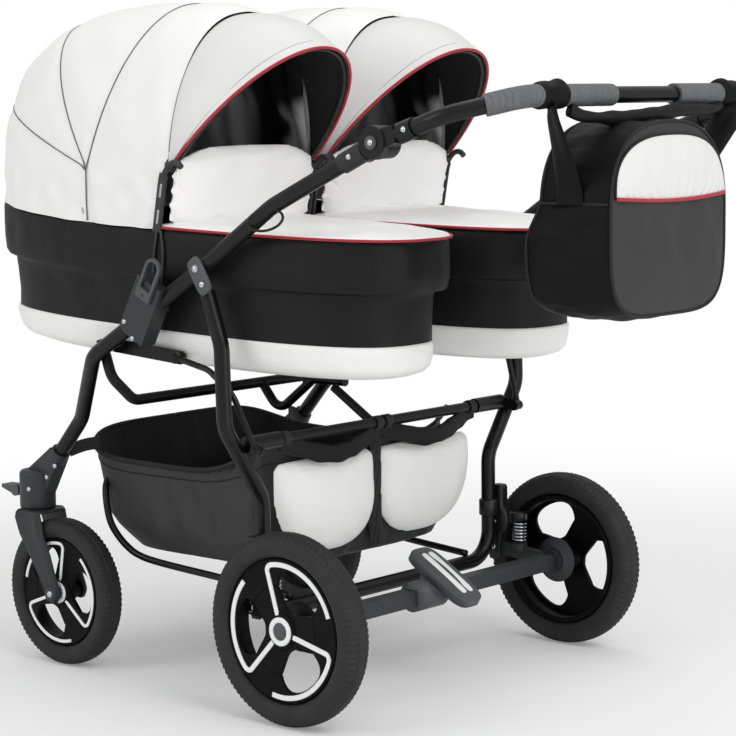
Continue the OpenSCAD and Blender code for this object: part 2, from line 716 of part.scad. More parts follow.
module bag_straps() {
    y0 = 196;
    strap_w = 30;
    strap_t = 4;
    // A strap runs from under the bar to the shoulder of the bag
    from = [y0 + 17, push_z - grip_r - 2.6];
    to = [bag_w / 2 * pow(cos(27), 0.75), bag_top - bag_h / 2 * (1 - pow(sin(27), 0.7))];
    reach = norm(from - to) - 1;
    color("#2b2b2d") both() {
        translate([push_x, y0, push_z]) rotate([-90, 0, 0]) difference() {
            cylinder(h = 34, r = grip_r + 3.6);
            translate([0, 0, -1]) cylinder(h = 36, r = grip_r + 0.6);
        }
        translate([push_x - strap_w / 2, from[0], from[1]])
            rotate([-atan2(from[0] - to[0], from[1] - to[1]), 0, 0])
            translate([0, -strap_t / 2, -reach]) cube([strap_w, strap_t, reach]);
    }
}

// Carrycots

module tub(side) {
    t = 8;
    f = cot_foot;
    h = cot_head;
    w = cot_hw;
    rings = [[36, 33, 12, band_z, 0.1], [30, 27, 9, ledge_z, 0.55], [8, 8, 2, ledge_z + 1, 0.55], [2, 2, 0, ledge_z + 24, 0.7],
        [2, 1, 0, rim_z - 5, 1], [6, 4, 3, rim_z, 1], [6 + t, 4 + t, t, rim_z - 1, 1],
        [36 + t, 33 + t, 12 + t, band_z + 50, 0.4], [38 + t, 35 + t, 14 + t, band_z + 6, 0.1]];
    color("#232325") at_cot(side) loft([for (r = rings) laid(oval(f - r[0], h - r[1], w - r[2], r[3], r[4], 2.7, 40))]);
}
module left_tub() { tub(1); }
module right_tub() { tub(-1); }

module base(side) {
    f = cot_foot;
    h = cot_head;
    w = cot_hw;
    z = cot_bottom_z;
    rings = [[90, 86, 66, z, 0.4], [62, 58, 40, z + 1.5, 0.5], [44, 42, 22, z + 9, 0.4], [36, 34, 14, z + 24, 0.3],
        [33, 30, 10, band_z - gap, 0.1]];
    color("#ececea") at_cot(side) loft([for (r = rings) laid(oval(f - r[0], h - r[1], w - r[2], r[3], r[4], 2.7, 40))]);
}
module left_base() { base(1); }
module right_base() { base(-1); }

module mattress(side) {
    l = cot_l - 60;
    w = cot_hw - 32;
    z = band_z + 6 + 3 * gap;
    rings = [[l - 22, w - 20, z], [l - 5, w - 4, z + 10], [l - 3, w - 2, z + 26], [l - 14, w - 12, z + 36],
        [l * 0.6, w * 0.6, z + 44]];
    color("#d8d8d6") at_cot(side) loft([for (r = rings) laid(oval(r[0], r[0], r[1], r[2], 0.1, 2.7, 28))]);
}
module left_mattress() { mattress(1); }
module right_mattress() { mattress(-1); }

module apron(side) {
    l = cot_foot;
    w = cot_hw - 1;
    z = rim_z + gap;
    rings = [[l - 10, w - 7, z], [l - 1, w, z + 3], [l - 6, w - 5, z + 7], [l - 40, w - 34, z + 12], [l * 0.75, w * 0.55, z + 15]];
    color("#f2f2f0") at_cot(side) intersection() {
        loft([for (r = rings) laid(oval(r[0], r[0], r[1], r[2], 0, 2.6, 44))]);
        translate([-600, -300, z - 50]) cube([600 - 37, 600, 200]);
    }
}
module left_apron() { apron(1); }
module right_apron() { apron(-1); }

module wind_flap(side) {
    w = cot_hw - 20;
    h = flap_h / 2;
    color("#efefed") at_cot(side) translate([-61, 0, rim_z + 14.4 + cot_slope * (cot_l - 61) + h]) rotate([0, -11, 0])
        loft([for (k = [[-10, 0.5], [-8, 0.8], [-4, 0.97], [0, 1], [4, 0.97], [8, 0.8], [10, 0.5]])
            [for (i = [0:27]) let (a = 360 * i / 28, c = cos(a), s = sin(a))
                [k[0], (w - (s > 0 ? 8 * s : 0)) * (1 - (1 - k[1]) * 0.3) * spow(c, 0.4), h * k[1] * spow(s, s > 0 ? 0.62 : 0.42)]]]);
}
module left_wind_flap() { wind_flap(1); }
module right_wind_flap() { wind_flap(-1); }

// Hood: a dome of ovals behind the vertical bow, cut at the bow's plane
hood_h = hood_top_z - pivot_z;
function dome_ring(t, inset, z_in) =
    let (k = max(0, 1 - pow(t, 2.2)), lb = cot_l * pow(k, 0.337) - inset, lf = 300 * pow(k, 0.5) - inset,
        w = (cot_hw - 3) * pow(k, 0.4545) - inset, shift = 34 * t * t)
    [for (p = oval(lf, lb, w, pivot_z + hood_h * t - z_in, 0, 2.7 - 0.4 * t, 36)) p + [shift, 0, 0]];

module hood_back(side) {
    h = cot_head;
    w = cot_hw;
    t = hood_t;
    wall = [[h - 9 - t, w - 2 - t, rim_z + 40, 0.6], [h - 10 - t, w - 3 - t, rim_z + 0.8, 1], [h - 10, w - 3, rim_z + 0.8, 1],
        [h - 9, w - 2, rim_z + 40, 0.6]];
    tall = [0, 0.18, 0.36, 0.54, 0.7, 0.83, 0.92, 0.975];
    color("#f3f3f1") at_cot(side) difference() {
        loft(concat(
            [for (i = [len(tall) - 1:-1:0]) dome_ring(tall[i], t, t * tall[i])],
            [for (r = wall) laid(oval(300, r[0], r[1], r[2], r[3], 2.7, 36))],
            [for (s = tall) dome_ring(s, 0, 0)]));
        translate([0, 400, 0]) rotate([90, 0, 0]) linear_extrude(height = 800) polygon([[-700, rim_z - 60], [-20, rim_z - 60],
            [-48, pivot_z - 6], [-50, pivot_z + 12], [-57 - (hood_h + 60) * tan(l4_angle - 90) + 2, pivot_z + hood_h + 60],
            [-700, pivot_z + hood_h + 60]]);
    }
}
module left_hood_back() { hood_back(1); }
module right_hood_back() { hood_back(-1); }

// A point of the hood's front part: fan angle, share along the arch and distance in from the cloth
function visor_point(angle, s, inset) =
    let (f = (angle - l4_angle) / (visor_angle - l4_angle), reach = (hood_h - 19) * (1 - f) + 265 * f - inset, n = 2.2 - 0.2 * f,
        w = cot_hw - 4 - 2 * f - inset, r = 11 + (reach - 11) * spow(sin(180 * s), 2 / n))
    [pivot_x - cot_x + r * cos(angle), w * spow(cos(180 * s), 2 / n), pivot_z + r * sin(angle)];

module hood_front(side) {
    fan = [for (i = [0:6]) visor_angle + (l4_angle + 0.8 - visor_angle) * i / 6];
    color("#f3f3f1") at_cot(side) arch([for (a = fan) concat([for (j = [0:22]) visor_point(a, j / 22, 0)],
        [for (j = [22:-1:0]) visor_point(a, j / 22, hood_t)])]);
}
module left_hood_front() { hood_front(1); }
module right_hood_front() { hood_front(-1); }

module hood_bow(side) {
    a = visor_angle - 1.4;
    n = 24;
    deep = hood_t + 4.6;
    er = [cos(a), 0, sin(a)];
    flat = [-sin(a), 0, cos(a)];
    path = [for (j = [0:n]) let (p = visor_point(a, j / n, deep)) j == 0 || j == n ? p - er * 11 : p];
    color("#3a3b3e") at_cot(side) difference() {
        union() {
            loft([for (j = [0:n]) let (d = unit(path[min(n, j + 1)] - path[max(0, j - 1)]), out = cross(flat, d))
                [for (k = [0:7]) path[j] + 3.6 * (cos(45 * k) * out + sin(45 * k) * flat)]]);
            both() ypin(pivot_x - cot_x, pivot_z, 7, cot_hw - 16, cot_hw - 2);
        }
        both() ypin(pivot_x - cot_x, pivot_z, 3 + run, cot_hw - 14, cot_hw);
    }
}
module left_hood_bow() { hood_bow(1); }
module right_hood_bow() { hood_bow(-1); }

module hood_arms(side) {
    top = [pivot_x - cot_x, pivot_z];
    low = [arm_low_x - cot_x, arm_low_z + 9];
    color("#29292b") at_cot(side) both() {
        plate(arm_y0, arm_y0 + arm_t) strap2d(top, low, 9);
        ypin(top[0], top[1], 3, cot_hw - 12, arm_y0 + 1);
    }
}
module left_hood_arms() { hood_arms(1); }
module right_hood_arms() { hood_arms(-1); }

front_legs();
upper_rails();
frame_rivets();
front_cross_bar();
cot_adapters();
left_release_loop();
right_release_loop();
rail_loop();
handle_sockets();
swivel_housings();
basket();
basket_pockets();
basket_rod();
left_front_tyre();
right_front_tyre();
left_front_rim();
right_front_rim();
left_fork();
right_fork();
left_swivel_lock();
right_swivel_lock();
rear_leg_frame();
fold_plates();
rear_cross_bar();
suspension_housings();
suspension_springs();
rear_axle();
brake_pedal();
left_rear_tyre();
right_rear_tyre();
left_rear_rim();
right_rear_rim();
brace_front_links();
brace_rear_links();
handle_bar();
handle_grips();
left_handle_button();
right_handle_button();
changing_bag();
bag_straps();
left_tub();
right_tub();
left_base();
right_base();
left_mattress();
right_mattress();
left_apron();
right_apron();
left_wind_flap();
right_wind_flap();
left_hood_back();
right_hood_back();
left_hood_front();
right_hood_front();
left_hood_bow();
right_hood_bow();
left_hood_arms();
right_hood_arms();
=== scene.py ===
import math
import bpy
import numpy as np
from mathutils import Matrix, Vector


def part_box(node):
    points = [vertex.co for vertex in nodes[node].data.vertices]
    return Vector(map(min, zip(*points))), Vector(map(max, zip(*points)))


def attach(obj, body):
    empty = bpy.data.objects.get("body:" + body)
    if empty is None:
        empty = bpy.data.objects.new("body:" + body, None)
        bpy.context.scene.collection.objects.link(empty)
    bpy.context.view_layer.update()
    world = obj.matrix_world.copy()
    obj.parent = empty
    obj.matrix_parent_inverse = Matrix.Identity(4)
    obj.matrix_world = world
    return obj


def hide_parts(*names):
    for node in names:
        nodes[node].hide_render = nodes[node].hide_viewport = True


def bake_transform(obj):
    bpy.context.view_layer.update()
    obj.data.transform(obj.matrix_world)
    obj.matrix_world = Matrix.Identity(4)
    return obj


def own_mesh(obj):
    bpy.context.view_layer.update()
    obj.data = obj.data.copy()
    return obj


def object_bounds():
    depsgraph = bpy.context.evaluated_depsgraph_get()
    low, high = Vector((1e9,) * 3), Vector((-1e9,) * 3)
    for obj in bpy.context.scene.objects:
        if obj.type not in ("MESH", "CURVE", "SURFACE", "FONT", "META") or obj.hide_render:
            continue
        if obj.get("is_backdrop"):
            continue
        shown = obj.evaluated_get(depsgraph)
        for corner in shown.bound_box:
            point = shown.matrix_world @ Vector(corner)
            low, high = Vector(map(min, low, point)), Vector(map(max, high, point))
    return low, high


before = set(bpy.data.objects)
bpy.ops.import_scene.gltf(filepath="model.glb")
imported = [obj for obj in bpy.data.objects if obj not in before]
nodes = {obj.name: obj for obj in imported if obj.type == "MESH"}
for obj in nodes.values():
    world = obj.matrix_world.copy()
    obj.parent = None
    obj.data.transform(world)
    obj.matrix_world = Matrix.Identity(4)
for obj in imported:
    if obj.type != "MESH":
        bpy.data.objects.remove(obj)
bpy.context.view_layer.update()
scene = bpy.context.scene
mm = 0.001
sides = (("left", 1.0), ("right", -1.0))
print("frame loaded:", len(nodes), "nodes")


# camera: the photograph's stand point, 3.9 m behind and to the left
cameraSet = {"target": (-9, 0, 514), "azimuth": 221.19, "elevation": 6.74, "roll": -0.56,
             "distance": 3880, "focalPixels": 2306, "imageWidth": 736}


# the camera stands back from the target along its two angles and is rolled about that line
def addCamera(c):
    az, el, roll = (math.radians(c[k]) for k in ("azimuth", "elevation", "roll"))
    back = Vector((math.sin(az) * math.cos(el), -math.cos(az) * math.cos(el), math.sin(el)))
    level = Vector((0, 0, 1)).cross(back).normalized()
    right = level * math.cos(roll) + back.cross(level) * math.sin(roll)
    up = back.cross(right)
    data = bpy.data.cameras.new("camera")
    data.sensor_width = 36
    data.lens = c["focalPixels"] * data.sensor_width / c["imageWidth"]
    data.clip_end = 200
    cam = bpy.data.objects.new("camera", data)
    scene.collection.objects.link(cam)
    place = Vector(c["target"]) * mm + back * c["distance"] * mm
    cam.matrix_world = Matrix((right, up, back)).transposed().to_4x4()
    cam.location = place
    scene.camera = cam


addCamera(cameraSet)
scene.view_settings.view_transform = "Standard"


# nodes of a material: a small writer that links by name
def startMaterial(name):
    mat = bpy.data.materials.new(name)
    mat.use_nodes = True
    tree = mat.node_tree
    shader = tree.nodes["Principled BSDF"]
    return mat, tree, shader


# a node with its settings; a name that starts with in_ gives the value of an input
def addNode(tree, kind, **settings):
    node = tree.nodes.new(kind)
    for key, value in settings.items():
        if key[:3] == "in_":
            node.inputs[key[3:].replace("_", " ")].default_value = value
        else:
            setattr(node, key, value)
    return node


# a colour in hex as linear light, by the standard curve
def linearOf(hexColour):
    raw = [int(hexColour[i:i + 2], 16) / 255 for i in (0, 2, 4)]
    return [v / 12.92 if v < 0.04045 else ((v + 0.055) / 1.055) ** 2.4 for v in raw]


# a colour times an attribute of the piece's points: the painted shade of a lining
def shadedBy(tree, tint, attribute):
    value = addNode(tree, "ShaderNodeAttribute", attribute_name=attribute)
    dim = addNode(tree, "ShaderNodeMix", data_type="RGBA", blend_type="MULTIPLY")
    dim.inputs[0].default_value = 1.0
    tree.links.new(tint, dim.inputs[6])
    tree.links.new(value.outputs["Fac"], dim.inputs[7])
    return dim.outputs[2]


# the fine grains: a texture node, its settings and the output that gives the height
grains = {
    "CELLS": ("ShaderNodeTexVoronoi", {"feature": "SMOOTH_F1"}, "Distance"),
    "RIBS": ("ShaderNodeTexWave", {"wave_type": "BANDS", "bands_direction": "Y", "in_Distortion": 5.0,
                                   "in_Detail": 3.0, "in_Detail_Scale": 1.2}, "Fac"),
    "WEAVE": ("ShaderNodeTexWave", {"wave_type": "BANDS", "bands_direction": "DIAGONAL"}, "Fac"),
    "NOISE": ("ShaderNodeTexNoise", {"in_Detail": 3.0}, "Fac"),
}


# a finish: base colour with broad mottling, a fine grain bump and soft larger unevenness, and painted shade
# from a named attribute of the piece's points
def makeFinish(name, colour, rough, metal=0.0, mottle=0.08, mottleScale=9.0, grain="NOISE", grainScale=600.0,
               grainDepth=0.00012, swell=0.0, swellScale=30.0, coat=0.0, sheen=0.0, roughSpread=0.06,
               specular=0.5, shade=None):
    mat, tree, shader = startMaterial(name)
    base = linearOf(colour)
    coords = addNode(tree, "ShaderNodeTexCoord")
    broad = addNode(tree, "ShaderNodeTexNoise", in_Scale=mottleScale, in_Detail=4.0)
    tree.links.new(coords.outputs["Object"], broad.inputs["Vector"])
    ramp = addNode(tree, "ShaderNodeMix", data_type="RGBA")
    ramp.inputs[6].default_value = [v * (1 - mottle) for v in base] + [1]
    ramp.inputs[7].default_value = [min(1, v * (1 + mottle * 0.6)) for v in base] + [1]
    tree.links.new(broad.outputs["Fac"], ramp.inputs[0])
    tint = ramp.outputs[2]
    if shade:
        tint = shadedBy(tree, tint, shade)
    tree.links.new(tint, shader.inputs["Base Color"])
    shine = addNode(tree, "ShaderNodeMapRange", in_From_Min=0.3, in_From_Max=0.7,
                    in_To_Min=max(0.02, rough - roughSpread), in_To_Max=min(1, rough + roughSpread))
    tree.links.new(broad.outputs["Fac"], shine.inputs["Value"])
    tree.links.new(shine.outputs["Result"], shader.inputs["Roughness"])
    shader.inputs["Metallic"].default_value = metal
    shader.inputs["Coat Weight"].default_value = coat
    shader.inputs["Coat Roughness"].default_value = 0.12
    shader.inputs["Sheen Weight"].default_value = sheen
    shader.inputs["Specular IOR Level"].default_value = specular
    kind, settings, output = grains[grain]
    fine = addNode(tree, kind, in_Scale=grainScale, **settings)
    tree.links.new(coords.outputs["Object"], fine.inputs["Vector"])
    bump = addNode(tree, "ShaderNodeBump", in_Strength=0.6, in_Distance=grainDepth)
    tree.links.new(fine.outputs[output], bump.inputs["Height"])
    if swell > 0:
        soft = addNode(tree, "ShaderNodeTexNoise", in_Scale=swellScale, in_Detail=2.0)
        tree.links.new(coords.outputs["Object"], soft.inputs["Vector"])
        wide = addNode(tree, "ShaderNodeBump", in_Strength=0.5, in_Distance=swell)
        tree.links.new(soft.outputs["Fac"], wide.inputs["Height"])
        tree.links.new(wide.outputs["Normal"], bump.inputs["Normal"])
    tree.links.new(bump.outputs["Normal"], shader.inputs["Normal"])
    return mat


# settings that several finishes share
paleLeather = {"mottle": 0.03, "grain": "CELLS", "grainScale": 620, "grainDepth": 0.00022, "swell": 0.0028,
               "swellScale": 17}
darkLeather = {"grain": "CELLS", "grainScale": 620, "grainDepth": 0.00025}
threadGrain = {"mottle": 0.2, "grain": "WEAVE", "grainScale": 900, "grainDepth": 0.0003}
plasticGrain = {"mottle": 0.1, "grainScale": 1500}
finishes = {
    "whiteLeather": makeFinish("white_leatherette", "f1f1f0", 0.46, **paleLeather),
    # the white leatherette again, brighter: painted light for the aprons, wind flaps and pockets, which lie in
    # shade
    "paintedLightLeather": makeFinish("white_leatherette_painted_light", "fdfdfc", 0.46, **paleLeather),
    "blackLeather": makeFinish("black_leatherette", "101011", 0.52, mottle=0.18, swell=0.0025, swellScale=20,
                               specular=0.24, **darkLeather),
    "bagLeather": makeFinish("bag_leatherette", "0a0a0b", 0.55, mottle=0.18, swell=0.0025, swellScale=20,
                             specular=0.15, **darkLeather),
    "charcoal": makeFinish("charcoal_leatherette", "333334", 0.55, mottle=0.14, swell=0.0022, swellScale=22,
                           specular=0.35, **darkLeather),
    # the lining's colour times its painted shade attribute: painted light and painted shade
    "lining": makeFinish("hood_lining", "f0f0f2", 0.6, mottle=0.25, grain="WEAVE", grainScale=420,
                         grainDepth=0.0003, swell=0.006, swellScale=14, specular=0.12, shade="shade"),
    # the white leatherette again, greyer: painted shade for the hood's front part and the bag's panel, which
    # face the lamps
    "paintedShadeLeather": makeFinish("white_leatherette_painted_shade", "dededd", 0.46, **paleLeather),
    "piping": makeFinish("red_piping", "b01f2e", 0.42, mottle=0.12, grain="WEAVE", grainScale=500,
                         grainDepth=0.0002),
    "seam": makeFinish("seam_thread", "6b6c6e", 0.7, **threadGrain),
    "darkSeam": makeFinish("dark_seam", "141415", 0.7, **threadGrain),
    "tubePaint": makeFinish("black_tube_paint", "0b0b0c", 0.34, mottle=0.1, grainScale=1400,
                            grainDepth=0.00003, coat=0.06, roughSpread=0.05, specular=0.28),
    "darkPlastic": makeFinish("dark_grey_plastic", "292a2c", 0.5, grainDepth=0.00008, **plasticGrain),
    "midPlastic": makeFinish("mid_grey_plastic", "4b4c4f", 0.48, grainDepth=0.00008, **plasticGrain),
    "blackPlastic": makeFinish("black_plastic", "161617", 0.45, grainDepth=0.00006, **plasticGrain),
    "silver": makeFinish("bright_steel", "c6c8cb", 0.24, metal=1.0, mottle=0.06, grainScale=900,
                         grainDepth=0.00003),
    "rubber": makeFinish("tyre_rubber", "1d1d1e", 0.7, mottle=0.16, mottleScale=30, grainScale=900,
                         grainDepth=0.0002, roughSpread=0.1),
    "rimBlack": makeFinish("rim_black", "050506", 0.5, mottle=0.1, grainScale=1400, grainDepth=0.00005,
                           specular=0.12),
    "rimWhite": makeFinish("rim_white_line", "f4f4f4", 0.4, mottle=0.03, grainScale=1400, grainDepth=0.00003),
    "gripLeather": makeFinish("grip_leather", "626366", 0.58, mottle=0.3, mottleScale=60, grain="RIBS",
                              grainScale=42, grainDepth=0.0022),
    "webbing": makeFinish("strap_webbing", "222223", 0.7, mottle=0.15, grain="WEAVE", grainScale=300,
                          grainDepth=0.0006),
    "mattressCloth": makeFinish("mattress_cloth", "cfcfcc", 0.85, mottle=0.05, grain="WEAVE", grainScale=300,
                                grainDepth=0.0004, sheen=0.2),
}
print("materials:", len(finishes))


# world, floor and lamps; a lamp is its name, place, aim, size and power
stageSet = {"worldStrength": 0.62, "floorHalf": 40.0, "floorColour": 0.9, "floorRough": 0.9,
            "floorSpecular": 0.1, "floorFade": (0.9, 2.6), "floorLeast": 0.17,
            "lamps": [("key_lamp", (-3.0, 0.7, 3.2), (0, 0, 0.6), 2.2, 50),
                      ("fill_lamp", (1.2, 3.6, 2.2), (0, 0, 0.6), 2.4, 32),
                      ("top_lamp", (0.4, -0.6, 4.2), (0, 0, 0.5), 3.0, 26),
                      ("low_lamp", (-2.7, 0.2, 0.6), (0, 0, 0.35), 1.4, 8)]}


# a round area lamp, turned to its aim
def addLamp(name, place, aim, size, power):
    data = bpy.data.lights.new(name, "AREA")
    data.shape = "DISK"
    data.size = size
    data.energy = power
    obj = bpy.data.objects.new(name, data)
    scene.collection.objects.link(obj)
    obj.location = place
    obj.rotation_euler = (Vector(aim) - Vector(place)).to_track_quat("-Z", "Y").to_euler()


# a white world that shows brighter than it lights, and a floor that fades to white with its distance
def addStage(s):
    world = bpy.data.worlds.new("studio")
    scene.world = world
    world.use_nodes = True
    tree = world.node_tree
    tree.nodes.clear()
    path = addNode(tree, "ShaderNodeLightPath")
    seen = addNode(tree, "ShaderNodeMath", operation="MAXIMUM")
    tree.links.new(path.outputs["Is Camera Ray"], seen.inputs[0])
    tree.links.new(path.outputs["Is Transmission Ray"], seen.inputs[1])
    level = addNode(tree, "ShaderNodeMapRange", in_To_Min=s["worldStrength"], in_To_Max=1.0)
    tree.links.new(seen.outputs[0], level.inputs["Value"])
    glow = addNode(tree, "ShaderNodeBackground")
    glow.inputs["Color"].default_value = (1, 1, 1, 1)
    tree.links.new(level.outputs["Result"], glow.inputs["Strength"])
    out = addNode(tree, "ShaderNodeOutputWorld")
    tree.links.new(glow.outputs[0], out.inputs["Surface"])

    half = s["floorHalf"]
    corners = [(-half, -half, 0), (half, -half, 0), (half, half, 0), (-half, half, 0)]
    mesh = bpy.data.meshes.new("floor")
    mesh.from_pydata(corners, [], [(0, 1, 2, 3)])
    floor = bpy.data.objects.new("floor", mesh)
    scene.collection.objects.link(floor)
    mat, tree, shader = startMaterial("pale_floor")
    shader.inputs["Base Color"].default_value = (s["floorColour"],) * 3 + (1,)
    shader.inputs["Roughness"].default_value = s["floorRough"]
    shader.inputs["Specular IOR Level"].default_value = s["floorSpecular"]
    coords = addNode(tree, "ShaderNodeTexCoord")
    far = addNode(tree, "ShaderNodeVectorMath", operation="LENGTH")
    tree.links.new(coords.outputs["Object"], far.inputs[0])
    fade = addNode(tree, "ShaderNodeMapRange", interpolation_type="SMOOTHSTEP",
                   in_From_Min=s["floorFade"][0], in_From_Max=s["floorFade"][1], in_To_Min=s["floorLeast"])
    tree.links.new(far.outputs["Value"], fade.inputs["Value"])
    path = addNode(tree, "ShaderNodeLightPath")
    seen = addNode(tree, "ShaderNodeMath", operation="MULTIPLY")
    tree.links.new(path.outputs["Is Camera Ray"], seen.inputs[0])
    tree.links.new(fade.outputs["Result"], seen.inputs[1])
    glow = addNode(tree, "ShaderNodeEmission")
    glow.inputs["Color"].default_value = (1, 1, 1, 1)
    mix = addNode(tree, "ShaderNodeMixShader")
    tree.links.new(seen.outputs[0], mix.inputs[0])
    tree.links.new(shader.outputs[0], mix.inputs[1])
    tree.links.new(glow.outputs[0], mix.inputs[2])
    tree.links.new(mix.outputs[0], tree.nodes["Material Output"].inputs["Surface"])
    mesh.materials.append(mat)
    floor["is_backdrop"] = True
    for row in s["lamps"]:
        addLamp(*row)


addStage(stageSet)


# meshes from grids of points: rows by columns by three, in millimetres
def gridMesh(name, grid, wrapRows=False, wrapCols=False, capStart=False, capEnd=False, flip=False,
             smooth=True):
    rows, cols = grid.shape[:2]
    points = grid.reshape(-1, 3)
    index = np.arange(rows * cols).reshape(rows, cols)
    if wrapRows:
        index = np.vstack([index, index[:1]])
    if wrapCols:
        index = np.hstack([index, index[:, :1]])
    quads = np.stack([index[:-1, :-1], index[:-1, 1:], index[1:, 1:], index[1:, :-1]], -1).reshape(-1, 4)
    fans = [np.zeros((0, 3), int)]
    for wanted, ring, turn in ((capStart, index[0], 1), (capEnd, index[-1], -1)):
        if wanted:
            centre = len(points)
            points = np.vstack([points, grid.reshape(-1, 3)[ring].mean(0)])
            fan = np.stack([np.full(len(ring) - 1, centre), ring[1:], ring[:-1]], -1)
            fans.append(fan[:, ::turn])
    tris = np.vstack(fans)
    if flip:
        quads, tris = quads[:, ::-1], tris[:, ::-1]
    return meshFrom(name, points, quads, tris, smooth)


# one mesh object from points, quads and triangles
def meshFrom(name, points, quads, tris, smooth):
    mesh = bpy.data.meshes.new(name)
    mesh.vertices.add(len(points))
    mesh.vertices.foreach_set("co", (points * mm).astype(np.float32).ravel())
    loops = np.concatenate([quads.ravel(), tris.ravel()]).astype(np.int32)
    mesh.loops.add(len(loops))
    mesh.loops.foreach_set("vertex_index", loops)
    starts = np.concatenate([np.arange(len(quads)) * 4, len(quads) * 4 + np.arange(len(tris)) * 3])
    mesh.polygons.add(len(starts))
    mesh.polygons.foreach_set("loop_start", starts.astype(np.int32))
    mesh.update(calc_edges=True)
    mesh.validate()
    mesh.polygons.foreach_set("use_smooth", np.full(len(mesh.polygons), smooth))
    obj = bpy.data.objects.new(name, mesh)
    scene.collection.objects.link(obj)
    return obj


# a grid closed round its columns, with a cap on each end
def cappedMesh(name, grid, flip=True, smooth=True):
    return gridMesh(name, grid, wrapCols=True, capStart=True, capEnd=True, flip=flip, smooth=smooth)


# several objects joined as one piece, under its name
def joined(name, objs):
    for o in bpy.context.selected_objects:
        o.select_set(False)
    for o in objs:
        o.select_set(True)
    bpy.context.view_layer.objects.active = objs[0]
    if len(objs) > 1:
        bpy.ops.object.join()
    objs[0].name = name
    objs[0].data.name = name
    objs[0].select_set(False)
    return objs[0]


# unit vectors along the last axis
def unit(v):
    return v / np.maximum(np.linalg.norm(v, axis=-1, keepdims=True), 1e-12)


# a profile carried along a path: the frame is turned as little as possible from point to point
def sweep(path, profile, closed=False, startSide=(0, 0, 1)):
    path = np.asarray(path, float)
    count = len(path)
    if closed:
        ahead = np.roll(path, -1, 0) - np.roll(path, 1, 0)
    else:
        ahead = np.gradient(path, axis=0)
    ahead = unit(ahead)
    side = np.zeros_like(path)
    first = np.asarray(startSide, float)
    first = first - ahead[0] * (first @ ahead[0])
    side[0] = first / np.linalg.norm(first)
    for i in range(1, count):
        turned = side[i - 1] - ahead[i] * (side[i - 1] @ ahead[i])
        side[i] = turned / np.linalg.norm(turned)
    other = np.cross(ahead, side)
    profile = np.asarray(profile, float)
    if profile.ndim == 2:
        profile = np.broadcast_to(profile, (count,) + profile.shape)
    return path[:, None] + side[:, None] * profile[..., :1] + other[:, None] * profile[..., 1:]


# a round profile with a number of points
def roundProfile(radius, count):
    a = np.linspace(0, 2 * np.pi, count, endpoint=False)
    return np.stack([radius * np.cos(a), radius * np.sin(a)], -1)


# a flat strap's profile with rounded edges: width along the side vector, thickness across it
def strapProfile(width, thick, count=6):
    a = np.linspace(-np.pi / 2, np.pi / 2, count)
    r = thick / 2
    right = np.stack([width / 2 - r + r * np.cos(a), r * np.sin(a)], -1)
    return np.vstack([right, -right])


# a round tube along a path, capped where the path is open
def tubeAlong(name, path, radius, count=10, closed=False):
    grid = sweep(path, roundProfile(radius, count), closed)
    if closed:
        return gridMesh(name, grid, wrapRows=True, wrapCols=True, flip=True)
    return cappedMesh(name, grid)


# a smooth curve through points: Catmull-Rom, with a number of steps per span
def curveThrough(points, steps=12):
    p = np.asarray(points, float)
    p = np.vstack([2 * p[0] - p[1], p, 2 * p[-1] - p[-2]])
    t = np.linspace(0, 1, steps, endpoint=False)[:, None]
    out = []
    for a, b, c, d in zip(p[:-3], p[1:-2], p[2:-1], p[3:]):
        bend = 2 * a - 5 * b + 4 * c - d
        twist = 3 * b - a - 3 * c + d
        out.append(0.5 * (2 * b + (c - a) * t + bend * t ** 2 + twist * t ** 3))
    return np.vstack(out + [p[-2:-1]])


# a signed power, as in the ovals of the part
def spow(v, p):
    return np.sign(v) * np.abs(v) ** p


# a piece's finish, the body it moves with, its slot and the nodes it stands for
def dress(obj, finish, body=None, stands=()):
    obj.data.materials.clear()
    obj.data.materials.append(finishes[finish])
    if body:
        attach(obj, body)
    if stands:
        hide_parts(*stands)
    return obj


# a dressed tube
def tubePiece(name, path, radius, finish, body, count=10, closed=False):
    return dress(tubeAlong(name, path, radius, count, closed), finish, body)


# points given for the left, on either side
def mirrored(points, side):
    return np.asarray(points, float) * np.array([1.0, side, 1.0])


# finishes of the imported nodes, also of those that a piece stands for
nodeFinish = {
    "tubePaint": ["front_legs", "upper_rails", "front_cross_bar", "rear_leg_frame", "rear_cross_bar",
                  "handle_bar", "brace_front_links", "brace_rear_links", "basket_rod"],
    "blackPlastic": ["handle_sockets", "suspension_housings", "left_hood_bow", "right_hood_bow",
                     "left_hood_arms", "right_hood_arms"],
    "darkPlastic": ["cot_adapters", "swivel_housings", "left_fork", "right_fork", "rear_axle", "brake_pedal"],
    "midPlastic": ["left_release_loop", "right_release_loop", "fold_plates", "left_swivel_lock",
                   "right_swivel_lock", "left_handle_button", "right_handle_button"],
    "silver": ["frame_rivets", "suspension_springs"],
    "darkSeam": ["rail_loop"],
    "gripLeather": ["handle_grips"],
    "rubber": [s + n for s, _ in sides for n in ("_front_tyre", "_rear_tyre")],
    "rimBlack": [s + n for s, _ in sides for n in ("_front_rim", "_rear_rim")],
    "blackLeather": ["changing_bag", "basket", "left_tub", "right_tub"],
    "webbing": ["bag_straps"],
    "mattressCloth": ["left_mattress", "right_mattress"],
    "whiteLeather": ["basket_pockets"] + [s + n for s, _ in sides for n in
                                          ("_base", "_apron", "_wind_flap", "_hood_back", "_hood_front")],
}
for finish, names in nodeFinish.items():
    for name in names:
        nodes[name].data.materials.clear()
        nodes[name].data.materials.append(finishes[finish])
print("node finishes set")


